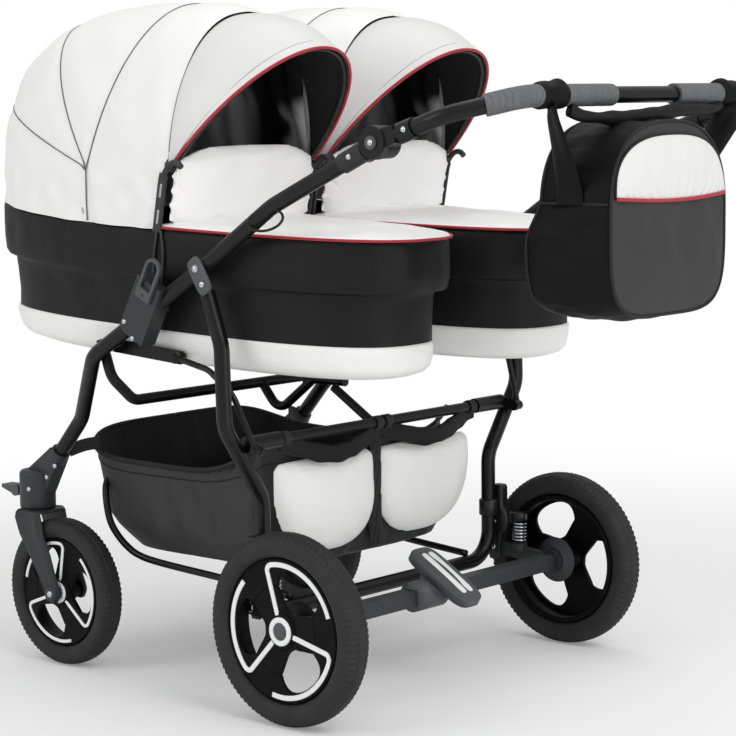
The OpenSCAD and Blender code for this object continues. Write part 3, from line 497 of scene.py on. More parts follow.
# wheels: tyre, rim and white lines, placed by the box of the tyre they stand for; the lines' angles in
# degrees
wheelSet = {
    "rear": {"lines": (107, 227, 347), "rightTurned": 52, "turn": -1, "lineWidth": 8.0, "sipes": 96},
    "front": {"lines": (81, 201, 321), "rightTurned": 0, "turn": 1, "lineWidth": 5.5, "sipes": 84},
}


# points of a wheel: radius, angle and height off the middle plane, outer face towards +h
def wheelPoints(radius, angle, height, centre, side):
    x = centre[0] - radius * np.cos(angle)
    z = centre[2] + radius * np.sin(angle)
    y = centre[1] + side * height
    return np.stack(np.broadcast_arrays(x, y, z), -1)


# tyre: an oval section turned about the axle, cut by three ring grooves and zigzag cross grooves; places
# across it are shares of the half width, the lip's is a share of the way from the seat to the tread
tyreSet = {"perSipe": 6, "treadTurn": 1.15, "treadSteps": 46, "wallSteps": 26, "tallPower": 0.8,
           "widePower": 0.75, "ringAt": 0.33, "ringWide": 0.06, "middleWide": 0.05, "zig": 0.35,
           "crossFrom": 0.36, "crossTo": 0.97, "depth": 1.9, "lipAt": 0.62, "lipTall": 0.9, "lipWide": 1.3}


def addTyre(name, centre, radius, width, seat, sipes, side):
    t = tyreSet
    around = np.linspace(0, 2 * np.pi, sipes * t["perSipe"], endpoint=False)[:, None]
    tread = np.linspace(-t["treadTurn"], t["treadTurn"], t["treadSteps"])
    wall = np.linspace(t["treadTurn"], 2 * np.pi - t["treadTurn"], t["wallSteps"])[1:-1]
    a = np.concatenate([tread, wall])[None, :]
    middle, half = (radius + seat) / 2, (radius - seat) / 2
    r = middle + half * spow(np.cos(a), t["tallPower"])
    h = width / 2 * spow(np.sin(a), t["widePower"])
    share = h / (width / 2)
    off = np.abs(share)
    ring = np.exp(-((off - t["ringAt"]) / t["ringWide"]) ** 2) + np.exp(-(share / t["middleWide"]) ** 2)
    zig = around * sipes / (2 * np.pi) + t["zig"] * np.abs(((share * 3) % 2) - 1) + 0.5 * (share > 0)
    cross = np.clip(1.6 - 5 * np.abs((zig % 1) - 0.5), 0, 1) * ((off > t["crossFrom"]) & (off < t["crossTo"]))
    onTread = np.clip((r - middle) / half * 4 - 1.0, 0, 1)
    lipRadius = seat + t["lipAt"] * (radius - seat)
    lip = t["lipTall"] * np.exp(-((r - lipRadius) / t["lipWide"]) ** 2) * (off > 0.5)
    r = r - t["depth"] * np.clip(ring + cross, 0, 1) * onTread
    h = h + np.sign(h) * lip
    grid = wheelPoints(r, around, h, centre, side)
    return gridMesh(name, grid, wrapRows=True, wrapCols=True, flip=side > 0)


# a body turned about the axle from (radius, height) pairs; sharp corners come from doubled pairs
def turned(name, pairs, centre, side, count=96):
    pairs = np.asarray(pairs, float)
    around = np.linspace(0, 2 * np.pi, count, endpoint=False)[:, None]
    grid = wheelPoints(pairs[None, :, 0], around, pairs[None, :, 1], centre, side)
    return gridMesh(name, grid, wrapRows=True, flip=side < 0)


# rim plate: solid from the hub to rin and from rout to the seat; the two part only inside the three
# windows. Its places are shares of the seat's radius, the windows' turns are in degrees from their lines
rimSet = {"seatShare": 0.79, "faceShare": 0.34, "core": 0.16, "inner": 0.31, "meet": 0.62, "outer": 0.87,
          "overlap": 0.4, "windowTurn": 45, "windowHalf": 36, "innerPower": 3.0, "outerPower": 5.0,
          "thick": 7.0, "edge": 1.2}


def addRim(name, centre, seat, s, side):
    m = rimSet
    around = np.linspace(0, 2 * np.pi, 240, endpoint=False)[:, None]
    inner, meet, outer = m["inner"] * seat, m["meet"] * seat, m["outer"] * seat
    rin = np.full_like(around, meet + m["overlap"])
    rout = np.full_like(around, meet - m["overlap"])
    for line in s["angles"]:
        middle = math.radians(line + s["turn"] * m["windowTurn"])
        t = np.abs((around - middle + np.pi) % (2 * np.pi) - np.pi) / math.radians(m["windowHalf"])
        rin = np.where(t < 1, inner + (meet - inner) * np.clip(t, 0, 1) ** m["innerPower"], rin)
        rout = np.where(t < 1, outer - (outer - meet) * np.clip(t, 0, 1) ** m["outerPower"], rout)
    # the plate's ring sections, round at the edge of the window
    front, rear, back, edge = s["face"], -s["face"], s["face"] - m["thick"], m["edge"]
    core, rim = np.full_like(around, m["core"] * seat), np.full_like(around, seat)
    hubPart = [(core, back), (core, front), (rin - edge, front), (rin, front - edge), (rin, back),
               (core, back)]
    rimPart = [(rout, back), (rout, front - edge), (rout + edge, front), (rim, front), (rim, front - 1),
               (rim, back - 1), (rout, back)]
    pieces = []
    for tag, part in (("a", hubPart), ("b", rimPart)):
        r = np.concatenate([p[0] for p in part], 1)
        h = np.array([p[1] for p in part])[None, :]
        grid = wheelPoints(r, around, h, centre, side)
        pieces.append(gridMesh(name + tag, grid, wrapRows=True, flip=side < 0, smooth=False))
    barrel = [(seat - 7, front - 1), (seat - 8, front - 3), (seat - 8, rear - 1), (seat - 6, rear - 4),
              (seat + 1, rear - 4), (seat + 1, front), (seat - 4, front + 1.2), (seat - 7, front - 1)]
    pieces.append(turned(name + "c", barrel, centre, side))
    hub = [(0.01, rear - 9), (0.13 * seat, rear - 9), (0.15 * seat, rear - 6), (0.27 * seat, back - 2),
           (0.27 * seat, front + 1), (0.2 * seat, front + 2.4), (0.01, front + 2.4)]
    pieces.append(turned(name + "d", hub, centre, side, 48))
    return joined(name, pieces)


# white lines: a ring round the hub and three strokes, each out to the rim and then along it; start and
# reach are shares of the seat's radius, the corner's turn and the arc are in degrees
lineSet = {"rise": 1.0, "start": 0.19, "reach": 0.925, "bend": 9.0, "cornerTurn": 7, "arc": (2, 81)}


def addLines(name, centre, seat, s, side):
    top = s["face"] + lineSet["rise"]
    reach = lineSet["reach"] * seat
    ring = [(0.125 * seat, top - 2), (0.125 * seat, top + 3.2), (0.135 * seat, top + 3.8),
            (0.19 * seat, top + 3.8), (0.2 * seat, top + 3.0), (0.2 * seat, top - 2)]
    pieces = [turned(name + "ring", ring, centre, side, 48)]
    w = s["lineWidth"] / 2
    profile = np.array([[-w, -1.5], [-w, 0.2], [-w + 0.6, 0.8], [w - 0.6, 0.8], [w, 0.2], [w, -1.5]])
    corner = s["turn"] * math.radians(lineSet["cornerTurn"])
    curl = np.linspace(0.2, 1.57, 6)
    spoke = np.linspace(lineSet["start"] * seat, reach - lineSet["bend"], 12)
    arc = corner + s["turn"] * np.radians(np.linspace(*lineSet["arc"], 28))
    r = np.concatenate([spoke, reach - lineSet["bend"] + lineSet["bend"] * np.sin(curl), np.full(28, reach)])
    turn = np.concatenate([np.zeros(12), corner * (1 - np.cos(curl)), arc])
    for k, line in enumerate(s["angles"]):
        path = wheelPoints(r, math.radians(line) + turn, np.full_like(r, top), centre, side)
        grid = sweepFlat(path, profile, np.array([0, side, 0.0]))
        pieces.append(cappedMesh(name + str(k), grid, side < 0, False))
    return joined(name, pieces)


# a profile carried along a path that lies in a plane: side in the plane, height along its normal
def sweepFlat(path, profile, normal):
    ahead = unit(np.gradient(path, axis=0))
    across = np.cross(ahead, normal)
    return path[:, None] + across[:, None] * profile[None, :, :1] + normal * profile[None, :, 1:]


for sideName, side in sides:
    for place, s in wheelSet.items():
        tyreNode = sideName + "_" + place + "_tyre"
        rimNode = sideName + "_" + place + "_rim"
        body = sideName + "_" + place + "_wheel"
        lo, hi = (np.array(v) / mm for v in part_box(tyreNode))
        centre, radius, width = (lo + hi) / 2, (hi[2] - lo[2]) / 2, hi[1] - lo[1]
        seat = radius - rimSet["seatShare"] * width
        face = rimSet["faceShare"] * width
        s["face"] = face
        s["angles"] = [line + s["rightTurned"] * (side < 0) for line in s["lines"]]
        dress(addTyre(tyreNode + "_look", centre, radius, width, seat, s["sipes"], side), "rubber", body,
              (tyreNode,))
        dress(addRim(rimNode + "_look", centre, seat, s, side), "rimBlack", body, (rimNode,))
        dress(addLines(rimNode + "_lines", centre, seat, s, side), "rimWhite", body)
        cap = [(0.01, face + 6.2), (0.06 * seat, face + 6.0), (0.1 * seat, face + 5.0),
               (0.124 * seat, face + 3.4), (0.124 * seat, face)]
        dress(turned(rimNode + "_cap", cap, centre, side, 40), "midPlastic", body)
print("wheels built")


# soft unevenness: the mean of a few sine waves in random directions, about -1 to 1, on points stretched
# first
def wobble(p, size, seed, stretch=(1, 1, 1), waves=12):
    rng = np.random.default_rng(seed)
    turn = unit(rng.normal(size=(waves, 3))) * (2 * np.pi / size) * rng.uniform(0.6, 1.7, (waves, 1))
    phase = rng.uniform(0, 2 * np.pi, waves)
    return np.sin((p * np.array(stretch)) @ turn.T + phase).sum(-1) / math.sqrt(waves)


# 1 inside a range, falling to 0 over a run at each end
def between(v, low, lowRun, high, highRun):
    return np.clip((v - low) / lowRun, 0, 1) * np.clip((high - v) / highRun, 0, 1)


# points turned about the y axis by an angle in degrees
def tilted(points, deg):
    a = math.radians(deg)
    x = points[..., 0] * math.cos(a) + points[..., 2] * math.sin(a)
    z = -points[..., 0] * math.sin(a) + points[..., 2] * math.cos(a)
    return np.stack([x, points[..., 1], z], -1)


# outward directions of a grid, by the cross product of its two runs
def gridNormals(grid):
    return unit(np.cross(np.gradient(grid, axis=1), np.gradient(grid, axis=0)))


# points spaced evenly along a line
def evenly(line, count, closed=False):
    if closed:
        line = np.vstack([line, line[:1]])
    run = np.concatenate([[0], np.cumsum(np.linalg.norm(np.diff(line, axis=0), axis=1))])
    want = np.linspace(0, run[-1], count + 1)[:-1] if closed else np.linspace(0, run[-1], count)
    return np.stack([np.interp(want, run, line[:, k]) for k in range(3)], -1)


# rows between control rows, straight from each to the next
def rowsBetween(controls, steps):
    controls = np.asarray(controls, float)
    out = [controls[0]]
    for a, b, n in zip(controls[:-1], controls[1:], steps):
        out += [a + (b - a) * t for t in np.linspace(0, 1, n + 1)[1:]]
    return np.array(out)


# cloth: a closed pad is remeshed evenly and blown out from inside for a number of steps with no weight on
# it; each point's move is held to a cap, and points past the pin's line are held still; the result becomes
# the mesh
clothSet = {"voxel": 5.0, "pressure": 4.0, "quality": 5, "steps": 20}


# a piece's mesh with its modifiers done
def meshOf(obj):
    deps = bpy.context.evaluated_depsgraph_get()
    return bpy.data.meshes.new_from_object(obj.evaluated_get(deps))


# a mesh's points as an array
def pointsOf(mesh):
    out = np.empty(len(mesh.vertices) * 3, np.float32)
    mesh.vertices.foreach_get("co", out)
    return out.reshape(-1, 3).astype(float)


# a new mesh in the place of a piece's own
def takeMesh(obj, mesh):
    old = obj.data
    obj.modifiers.clear()
    obj.data = mesh
    bpy.data.meshes.remove(old)


def blowOut(obj, cap, pinFrom=None):
    even = obj.modifiers.new("even", "REMESH")
    even.mode = "VOXEL"
    even.voxel_size = clothSet["voxel"] * mm
    takeMesh(obj, meshOf(obj))
    start = pointsOf(obj.data)
    cloth = obj.modifiers.new("cloth", "CLOTH")
    cloth.settings.use_pressure = True
    cloth.settings.uniform_pressure_force = clothSet["pressure"]
    cloth.settings.effector_weights.gravity = 0
    cloth.settings.quality = clothSet["quality"]
    if pinFrom is not None:
        group = obj.vertex_groups.new(name="pin")
        group.add([int(i) for i in np.flatnonzero(start[:, 0] > pinFrom * mm)], 1.0, "REPLACE")
        cloth.settings.vertex_group_mass = "pin"
    for step in range(1, clothSet["steps"] + 1):
        scene.frame_set(step)
    move = pointsOf(meshOf(obj)) - start
    far = np.linalg.norm(move, axis=1, keepdims=True)
    placed = start + move * np.minimum(1, cap * mm / np.maximum(far, 1e-9))
    obj.modifiers.clear()
    obj.vertex_groups.clear()
    scene.frame_set(1)
    obj.data.vertices.foreach_set("co", placed.astype(np.float32).ravel())
    smooth = obj.modifiers.new("smooth", "SUBSURF")
    smooth.levels = 1
    smooth.render_levels = 1
    takeMesh(obj, meshOf(obj))
    obj.data.polygons.foreach_set("use_smooth", np.full(len(obj.data.polygons), True))
    obj.data.update()
    return obj


# cots: sizes in the cot's own frame, foot towards -x and head towards +x
cotSet = {"x": 160.0, "y": 180.0, "rise": 20.0, "riseFrom": 60.0, "riseRun": 402.0, "slope": 0.035,
          "half": 462.0}


# from a cot's own frame to the pram's
def cotPlace(points, side):
    return points + np.array([cotSet["x"], side * cotSet["y"], 0.0])


# lift of the rim towards the head: the square of its way past the start
def rimRise(x):
    return cotSet["rise"] * np.maximum(0, (x - cotSet["riseFrom"]) / cotSet["riseRun"]) ** 2


# lift of the cot's slope, from nothing at the foot
def slopeLift(x):
    return cotSet["slope"] * (x + cotSet["half"])


# an oval ring: x and y by powers of the cosine and sine, the head end lifted by its share of the rise,
# the whole ring laid on the cot's slope by its last share
def ovalRing(foot, head, half, z, share, laid=1.0, power=2.7, shift=0.0, count=1600, start=0.0):
    a = start + np.linspace(0, 2 * np.pi, count, endpoint=False)
    c, s = spow(np.cos(a), 2 / power), spow(np.sin(a), 2 / power)
    x = np.where(c > 0, head, foot) * c + shift
    return np.stack([x, half * s, z + share * rimRise(x) + laid * slopeLift(x)], -1)


# the rings of a set: its rows filled in by its steps, each ring with evenly spaced points; a row is the
# reach to the foot and to the head, the half width, the height and the share of the rise
def ovalRows(s):
    return np.array([evenly(ovalRing(*r), s["count"], True) for r in rowsBetween(s["rows"], s["steps"])])


# directions out of a tub's wall: level, drawn towards its sides
def wallNormals(grid):
    return unit(grid - grid * np.array([0.55, 0, 1.0]))


# tub: lower panel, ledge, upper band and rim, then the inner wall down
tubSet = {"count": 260, "steps": (8, 8, 2, 3, 2, 3, 6, 3, 2, 2, 8, 4), "outerSpans": 8, "ledge": 663,
          "panel": (583, 30, 663, 12), "band": (668, 8, 742, 14),
          "rows": [(417, 438, 160, 583, 0.1), (420, 441, 162.5, 624, 0.3), (423, 444, 163, 662, 0.55),
                   (428, 450, 165, 665, 0.55), (444, 462, 170, 666, 0.55), (447, 466, 171, 670, 0.57),
                   (451, 469, 172, 690, 0.7), (451, 470, 172, 736, 1), (449, 468.5, 170.5, 743, 1),
                   (446, 465, 168, 745, 1), (439, 459, 164, 744, 1), (409, 430, 152, 633, 0.4),
                   (407, 428, 150, 590, 0.1)]}


# the panel is pushed in and puckered under the ledge, the band above is a little uneven
def addTub(name, side):
    grid = ovalRows(tubSet)
    z = grid[..., 2] - slopeLift(grid[..., 0])
    outside = np.arange(len(grid)) < sum(tubSet["steps"][:tubSet["outerSpans"]])
    pucker = np.exp(-np.abs(tubSet["ledge"] - z) / 22) * wobble(grid, 34, 5, (1, 1, 0.25))
    panel = between(z, *tubSet["panel"]) * (1.2 * wobble(grid, 150, 1) + 0.8 * pucker - 1.6)
    push = panel + between(z, *tubSet["band"]) * 0.8 * wobble(grid, 70, 3, (1, 1, 0.4))
    grid = grid + wallNormals(grid) * (push * outside[:, None])[..., None]
    return gridMesh(name, cotPlace(grid, side), wrapCols=True)


# base: the white band under the tub, rounded in to a flat floor
baseSet = {"count": 220, "steps": (2, 2, 2, 2, 3, 3, 3, 2, 2), "band": (534, 14, 583, 10),
           "rows": [(300, 322, 70, 527.5, 0.4), (363, 385, 106, 528, 0.4), (391, 413, 132, 529.5, 0.45),
                    (406, 427, 147, 535, 0.4), (414, 434, 154, 543, 0.35), (418, 439, 158.5, 556, 0.3),
                    (420.5, 442, 161, 571, 0.2), (420.5, 442, 161.5, 581, 0.1), (418, 440, 160, 583, 0.1),
                    (388, 410, 140, 583, 0.1)]}


def addBase(name, side):
    grid = ovalRows(baseSet)
    z = grid[..., 2] - slopeLift(grid[..., 0])
    push = between(z, *baseSet["band"]) * (0.9 * wobble(grid, 90, 8) + 0.5 * wobble(grid, 34, 9))
    grid = grid + wallNormals(grid) * push[..., None]
    return cappedMesh(name, cotPlace(grid, side), False)


# mattress: a soft pad on the tub's floor
mattressSet = {"count": 120, "steps": (2, 2, 2, 2, 2, 2), "swell": 5.0,
               "rows": [(358, 358, 100, 590.2, 0.1), (384, 384, 124, 591, 0.1), (397, 397, 136, 600, 0.1),
                        (399, 399, 138, 612, 0.1), (398, 398, 137, 622, 0.1), (386, 386, 127, 630, 0.1),
                        (330, 330, 96, 634, 0.1)]}


def addMattress(name, side):
    return cappedMesh(name, cotPlace(ovalRows(mattressSet), side), False)


# apron: a cover over the foot half that swells to its middle and is cut off under the flap; a row is the
# reach to the foot, the half width and the height over the rim, the piping's has its own cut
apronSet = {"z": 745.4, "cut": -37.0, "count": 150, "steps": (2, 3, 3, 4, 4, 5),
            "rows": [(443, 163, 0), (452, 170.5, 1.2), (453.5, 171.5, 4), (449, 167, 7.5), (424, 146, 11.5),
                     (378, 112, 14), (255, 56, 16.5)],
            "piping": (455.0, 173.0, 3.5, -30.0), "pipingRadius": 2.3}


# the part of an oval ring on the foot's side of a cut
def footArc(foot, half, rise, cut, count):
    ring = ovalRing(foot, foot, half, apronSet["z"] + rise, 1.0, start=np.pi / 2)
    return evenly(ring[ring[:, 0] < cut], count)


def addApron(name, side):
    rows = rowsBetween(apronSet["rows"], apronSet["steps"])
    grid = np.array([footArc(*row, apronSet["cut"], apronSet["count"]) for row in rows])
    inside = np.clip(np.arange(len(grid)) / 12 - 0.5, 0, 1)[:, None]
    grid[..., 2] += inside * (1.6 * wobble(grid, 120, 11) + 0.8 * wobble(grid, 50, 12, (0.4, 1, 1)))
    middle = (grid[-1:] + grid[-1:, ::-1]) / 2
    return gridMesh(name, cotPlace(np.concatenate([grid, middle]), side))


# wind flap: a pad with a rounded top, thick in the middle, leaning back with the hood's opening; the powers
# are those of its top and of its foot
flapSet = {"halfWidth": 173.0, "halfHeight": 72.5, "thick": 9.0, "centre": (-61.0, 0.0, 828.5), "lean": -11.0,
           "widePowers": (0.52, 0.22), "tallPowers": (0.7, 0.3), "rings": 14, "count": 120, "swell": 6.0}


def addFlap(name, side):
    f = flapSet
    q = np.concatenate([np.linspace(0.04, 1, f["rings"]), np.linspace(1, 0.04, f["rings"])[1:]])[:, None]
    a = np.linspace(0, 2 * np.pi, f["count"], endpoint=False)[None, :]
    y = f["halfWidth"] * q * spow(np.cos(a), np.where(np.sin(a) > 0, *f["widePowers"]))
    z = f["halfHeight"] * q * spow(np.sin(a), np.where(np.sin(a) > 0, *f["tallPowers"]))
    grid = np.stack([0 * y, y, z], -1)
    sign = np.where(np.arange(len(q)) < f["rings"], 1, -1)[:, None]
    depth = sign * f["thick"] * (1 - q ** 5) ** 0.6
    grid[..., 0] = depth + 2.2 * wobble(grid, 80, 21, (1, 0.7, 1.6)) * (1 - q ** 4)
    return cappedMesh(name, cotPlace(tilted(grid, f["lean"]) + np.array(f["centre"]), side), False)


# hood: rings of a dome over an oval wall; the seams are planes through a line across the fan points, the
# front edge goes by places on the wall and then leans forward
hoodSet = {"base": 856.0, "height": 266.0, "power": 2.2, "head": 462.0, "foot": 300.0, "half": 169.0,
           "lean": 34.0, "fan": (136.0, 856.0), "seams": (20.0, 57.0, 111.0), "seamHalf": 168.8,
           "seamRadius": 1.1, "puff": 3.2, "puffRun": 26.0, "pivot": (-57.0, 856.0), "visor": (95.3, 134.5),
           "reach": (247.0, 265.0), "cols": 240, "middle": (100.0, 0.0, 850.0),
           "visorMiddle": (-57.0, 0.0, 800.0), "wallSteps": (10, 14), "domeSteps": 62,
           "wall": [(300, 461, 169, 745.8, 1, 1), (300, 462, 170, 785, 0.6, 1), (300, 462, 169, 856, 0, 0)],
           "edgeZ": (685, 850, 868), "edgeX": (-20, -48, -50), "edgeLean": 5.3, "lowFrom": 900, "lowRun": 60}


# the dome's oval at a share of its height: reach to the foot and head, half width, shift and power
def domeSizes(t):
    k = np.maximum(1e-9, 1 - t ** hoodSet["power"])
    return (hoodSet["foot"] * k ** 0.5, hoodSet["head"] * k ** 0.337, hoodSet["half"] * k ** 0.4545,
            hoodSet["lean"] * t * t, 2.7 - 0.4 * t)


# the front edge's place along the cot at a height
def hoodCut(z):
    below = np.interp(z, hoodSet["edgeZ"], hoodSet["edgeX"])
    above = hoodSet["pivot"][0] - (z - hoodSet["base"]) * math.tan(math.radians(hoodSet["edgeLean"])) + 1
    return np.where(z > hoodSet["edgeZ"][-1], above, below)


# one ring from the cut on the left round the head to the cut on the right
def cutRing(ring, cut, count):
    order = np.roll(ring, -int(np.argmin(ring[:, 0])), 0)
    keep = order[order[:, 0] > cut]
    if len(keep) < len(order):
        keep = keep.copy()
        first = np.argmax(order[:, 0] > cut)
        for end, i, j in ((0, first - 1, first), (-1, first + len(keep), first + len(keep) - 1)):
            a, b = order[i % len(order)], order[j % len(order)]
            keep[end] = a + (b - a) * (cut - a[0]) / (b[0] - a[0] + 1e-12)
    else:
        keep = np.vstack([order, order[:1]])
    return evenly(keep, count)


# distance of points to the nearest seam plane, on the seam's own side of the fan
def seamDistance(p):
    fx, fz = hoodSet["fan"]
    far = np.full(p.shape[:-1], 400.0)
    for deg in hoodSet["seams"] + (-90.0,):
        a = math.radians(deg)
        along = (p[..., 0] - fx) * math.cos(a) + (p[..., 2] - fz) * math.sin(a)
        off = np.abs(-(p[..., 0] - fx) * math.sin(a) + (p[..., 2] - fz) * math.cos(a))
        far = np.minimum(far, np.where(along > 0, off, np.hypot(p[..., 0] - fx, p[..., 2] - fz)))
    front = np.abs(p[..., 0] - hoodCut(p[..., 2]))
    return np.minimum(far, front)


# rings of the wall and then of the dome, each cut at the front edge; the last row is the top
def hoodBackGrid(inset=0.0):
    s = hoodSet
    rows = []
    for foot, head, half, z, share, laid in rowsBetween(s["wall"], s["wallSteps"])[:-1]:
        ring = ovalRing(foot - inset, head - inset, half - inset, z, share, laid)[::-1]
        rows.append(cutRing(ring, float(hoodCut(z)), s["cols"]))
    for e in np.linspace(0, 1, s["domeSteps"])[:-1]:
        t = math.sin(e * math.pi / 2) ** (2 / s["power"])
        foot, head, half, shift, power = domeSizes(t)
        z = s["base"] + s["height"] * t
        shrink = max(0.05, 1 - inset / max(half, 30))
        ring = ovalRing(foot * shrink, head * shrink, half * shrink, z - inset * t, 0, 0, power, shift)[::-1]
        rows.append(cutRing(ring, float(hoodCut(z)), s["cols"]))
    top = np.array([s["lean"], 0, s["base"] + s["height"] - inset])
    rows.append(np.broadcast_to(top, rows[-1].shape))
    return np.array(rows)


# rear part: puffed out between the seams, with folds in its low sides and puckers beside the seams
def addHoodBack(name, side):
    grid = hoodBackGrid()
    normal = gridNormals(grid[:-1])
    normal = np.concatenate([normal, np.broadcast_to([0, 0, 1.0], normal[-1:].shape)])
    outward = (normal * (grid - np.array(hoodSet["middle"]))).sum(-1, keepdims=True)
    normal *= np.where(outward < 0, -1, 1)
    d = seamDistance(grid)
    puff = hoodSet["puff"] * (1 - np.exp(-(d / hoodSet["puffRun"]) ** 2))
    low = np.clip((hoodSet["lowFrom"] - grid[..., 2]) / hoodSet["lowRun"], 0, 1)
    lowSide = low * np.clip(d / 14, 0, 1)
    folds = 2.4 * lowSide * wobble(grid, 60, 31, (1, 0.3, 0.9))
    folds += 1.1 * np.clip(d / 20, 0, 1) * wobble(grid, 140, 32)
    folds += 0.7 * np.exp(-((d - 16) / 9) ** 2) * wobble(grid, 24, 33)
    grid = grid + normal * (puff + folds)[..., None]
    return gridMesh(name, cotPlace(grid, side))


# the painted shade of each point of a lining, as an attribute that its finish reads
def setPaintedShade(obj, values):
    layer = obj.data.attributes.new("shade", "FLOAT", "POINT")
    layer.data.foreach_set("value", values.astype(np.float32).ravel())


# lining: the rear part again, inset and in loose folds; painted light in its colour at its front and low back,
# painted shade between
liningSet = {"inset": 7.0, "fold": 4.5, "frontTop": 975, "backFrom": 50, "backTop": 1020, "least": 0.02,
             "visorInset": 5.0, "visorFrom": 93.5, "visorShade": 0.035}


def addHoodLining(name, side):
    s = liningSet
    grid = hoodBackGrid(s["inset"])
    fold = s["fold"] * np.clip(wobble(grid, 75, 41, (1, 1, 0.35)), -2, 1)
    grid = grid + unit(grid - np.array(hoodSet["middle"])) * fold[..., None]
    obj = gridMesh(name, cotPlace(grid, side), flip=True)
    x, z = grid[..., 0], grid[..., 2]
    streak = 0.6 + 0.4 * wobble(grid, 40, 43, (1, 1, 0.2))
    front = np.clip((15 * wobble(grid, 60, 44) - x) / 40, 0, 1)
    front = front * np.clip((s["frontTop"] + 20 * wobble(grid, 90, 42) - z) / 45, 0, 1)
    back = (streak + 0.3) * np.clip((x - s["backFrom"]) / 50, 0, 1) * np.clip((s["backTop"] - z) / 60, 0, 1)
    setPaintedShade(obj, np.clip(np.maximum(front, back), s["least"], 1))
    return obj


# a seam: where the plane at this angle meets the dome, found by halving along each ray
def seamLine(deg, count=90):
    fx, fz = hoodSet["fan"]
    a = math.radians(deg)
    y = hoodSet["seamHalf"] * np.cos(np.linspace(0, np.pi, count))
    near, far = np.zeros(count), np.full(count, 620.0)
    for _ in range(40):
        r = (near + far) / 2
        x, z = fx + r * math.cos(a), fz + r * math.sin(a)
        t = np.clip((z - hoodSet["base"]) / hoodSet["height"], 0, 0.999999)
        foot, head, half, shift, power = domeSizes(t)
        length = np.where(x > shift, head, foot)
        over = (np.abs(x - shift) / length) ** power + (np.abs(y) / half) ** power > 1
        over |= z > hoodSet["base"] + hoodSet["height"]
        near, far = np.where(over, near, r), np.where(over, r, far)
    line = np.stack([fx + near * math.cos(a), y, fz + near * math.sin(a)], -1)
    ends = np.array([[fx, y[0], fz - 4], [fx, y[-1], fz - 4]])
    line = evenly(np.vstack([ends[:1], line, ends[1:]]), 180)
    ease = np.ones(9) / 9
    inner = np.stack([np.convolve(line[:, k], ease, "valid") for k in range(3)], -1)
    line = evenly(np.vstack([line[:1], inner, line[-1:]]), 180)
    return line + unit(line - np.array(hoodSet["middle"])) * 0.9


# front part of the hood: an arch that opens about the pivots, wider and flatter to its edge; its power and half
# width are the seam's, with what goes off each by the edge, and its bend has a reach from the pivot and a run
visorSet = {"first": 94.9, "rows": 44, "power": 2.2, "flatten": 0.2, "half": 168, "narrow": 2, "hub": 11,
            "puffFrom": 870, "puffRun": 60, "puff": 3.4, "hemFrom": 0.88, "wobble": 0.9, "bendReach": 250,
            "bendRun": 164}


def visorRow(angle, inset=0.0, count=150):
    lo, hi = hoodSet["visor"]
    f = (angle - lo) / (hi - lo)
    reach = hoodSet["reach"][0] + (hoodSet["reach"][1] - hoodSet["reach"][0]) * f - inset
    power = visorSet["power"] - visorSet["flatten"] * f
    half = visorSet["half"] - visorSet["narrow"] * f - inset
    s = np.linspace(0, 1, 900)
    r = visorSet["hub"] + (reach - visorSet["hub"]) * np.abs(np.sin(np.pi * s)) ** (2 / power)
    a = math.radians(angle)
    line = np.stack([hoodSet["pivot"][0] + r * math.cos(a), half * spow(np.cos(np.pi * s), 2 / power),
                     hoodSet["pivot"][1] + r * math.sin(a)], -1)
    return evenly(line, count)


# rows of the front part from its seam to its edge
def visorGrid(inset=0.0, first=visorSet["first"]):
    angles = np.linspace(first, hoodSet["visor"][1], visorSet["rows"])
    return np.array([visorRow(a, inset) for a in angles])


# the front part is puffed out by a sine from its seam to its hem
def addVisor(name, side):
    grid = visorGrid()
    f = np.linspace(0, 1, len(grid))[:, None]
    out = unit(grid - np.array(hoodSet["visorMiddle"]))
    height = np.clip((grid[..., 2] - visorSet["puffFrom"]) / visorSet["puffRun"], 0, 1)
    puff = visorSet["puff"] * np.sin(np.pi * np.clip(f / visorSet["hemFrom"], 0, 1)) ** 0.7 + 1.2 * (f > 0.9)
    uneven = visorSet["wobble"] * wobble(grid, 120, 51) * np.sin(np.pi * f)
    grid = grid + out * ((puff + uneven) * height)[..., None]
    return gridMesh(name, cotPlace(grid, side), flip=True)


# the hood's front part: its placement baked into its mesh
def bendWithHood(obj):
    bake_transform(obj)


# seams of a hood: where its gores meet, down its sides, and where its two parts join and its hem is
# stitched
seamSet = {"uprightX": 136, "upright": [(169.2, 852), (169.4, 828), (169.4, 800), (168.4, 770)], "join": 95.4,
           "hem": 130.6, "hemOut": 0.6, "hemRadius": 0.6, "pipingRadius": 2.6}


def addSeams(sideName, side):
    body = sideName + "_cot"
    lines = [("_hood_seam_" + str(k), seamLine(deg)) for k, deg in enumerate(hoodSet["seams"])]
    for k, turn in enumerate((1, -1)):
        upright = [(seamSet["uprightX"], turn * y, z) for y, z in seamSet["upright"]]
        lines.append(("_hood_upright_" + str(k), curveThrough(upright)))
    lines.append(("_hood_join", visorRow(seamSet["join"])[4:-4]))
    for name, line in lines:
        line = cotPlace(line, side)
        tubePiece(sideName + name, line, hoodSet["seamRadius"], "seam", body, 8)


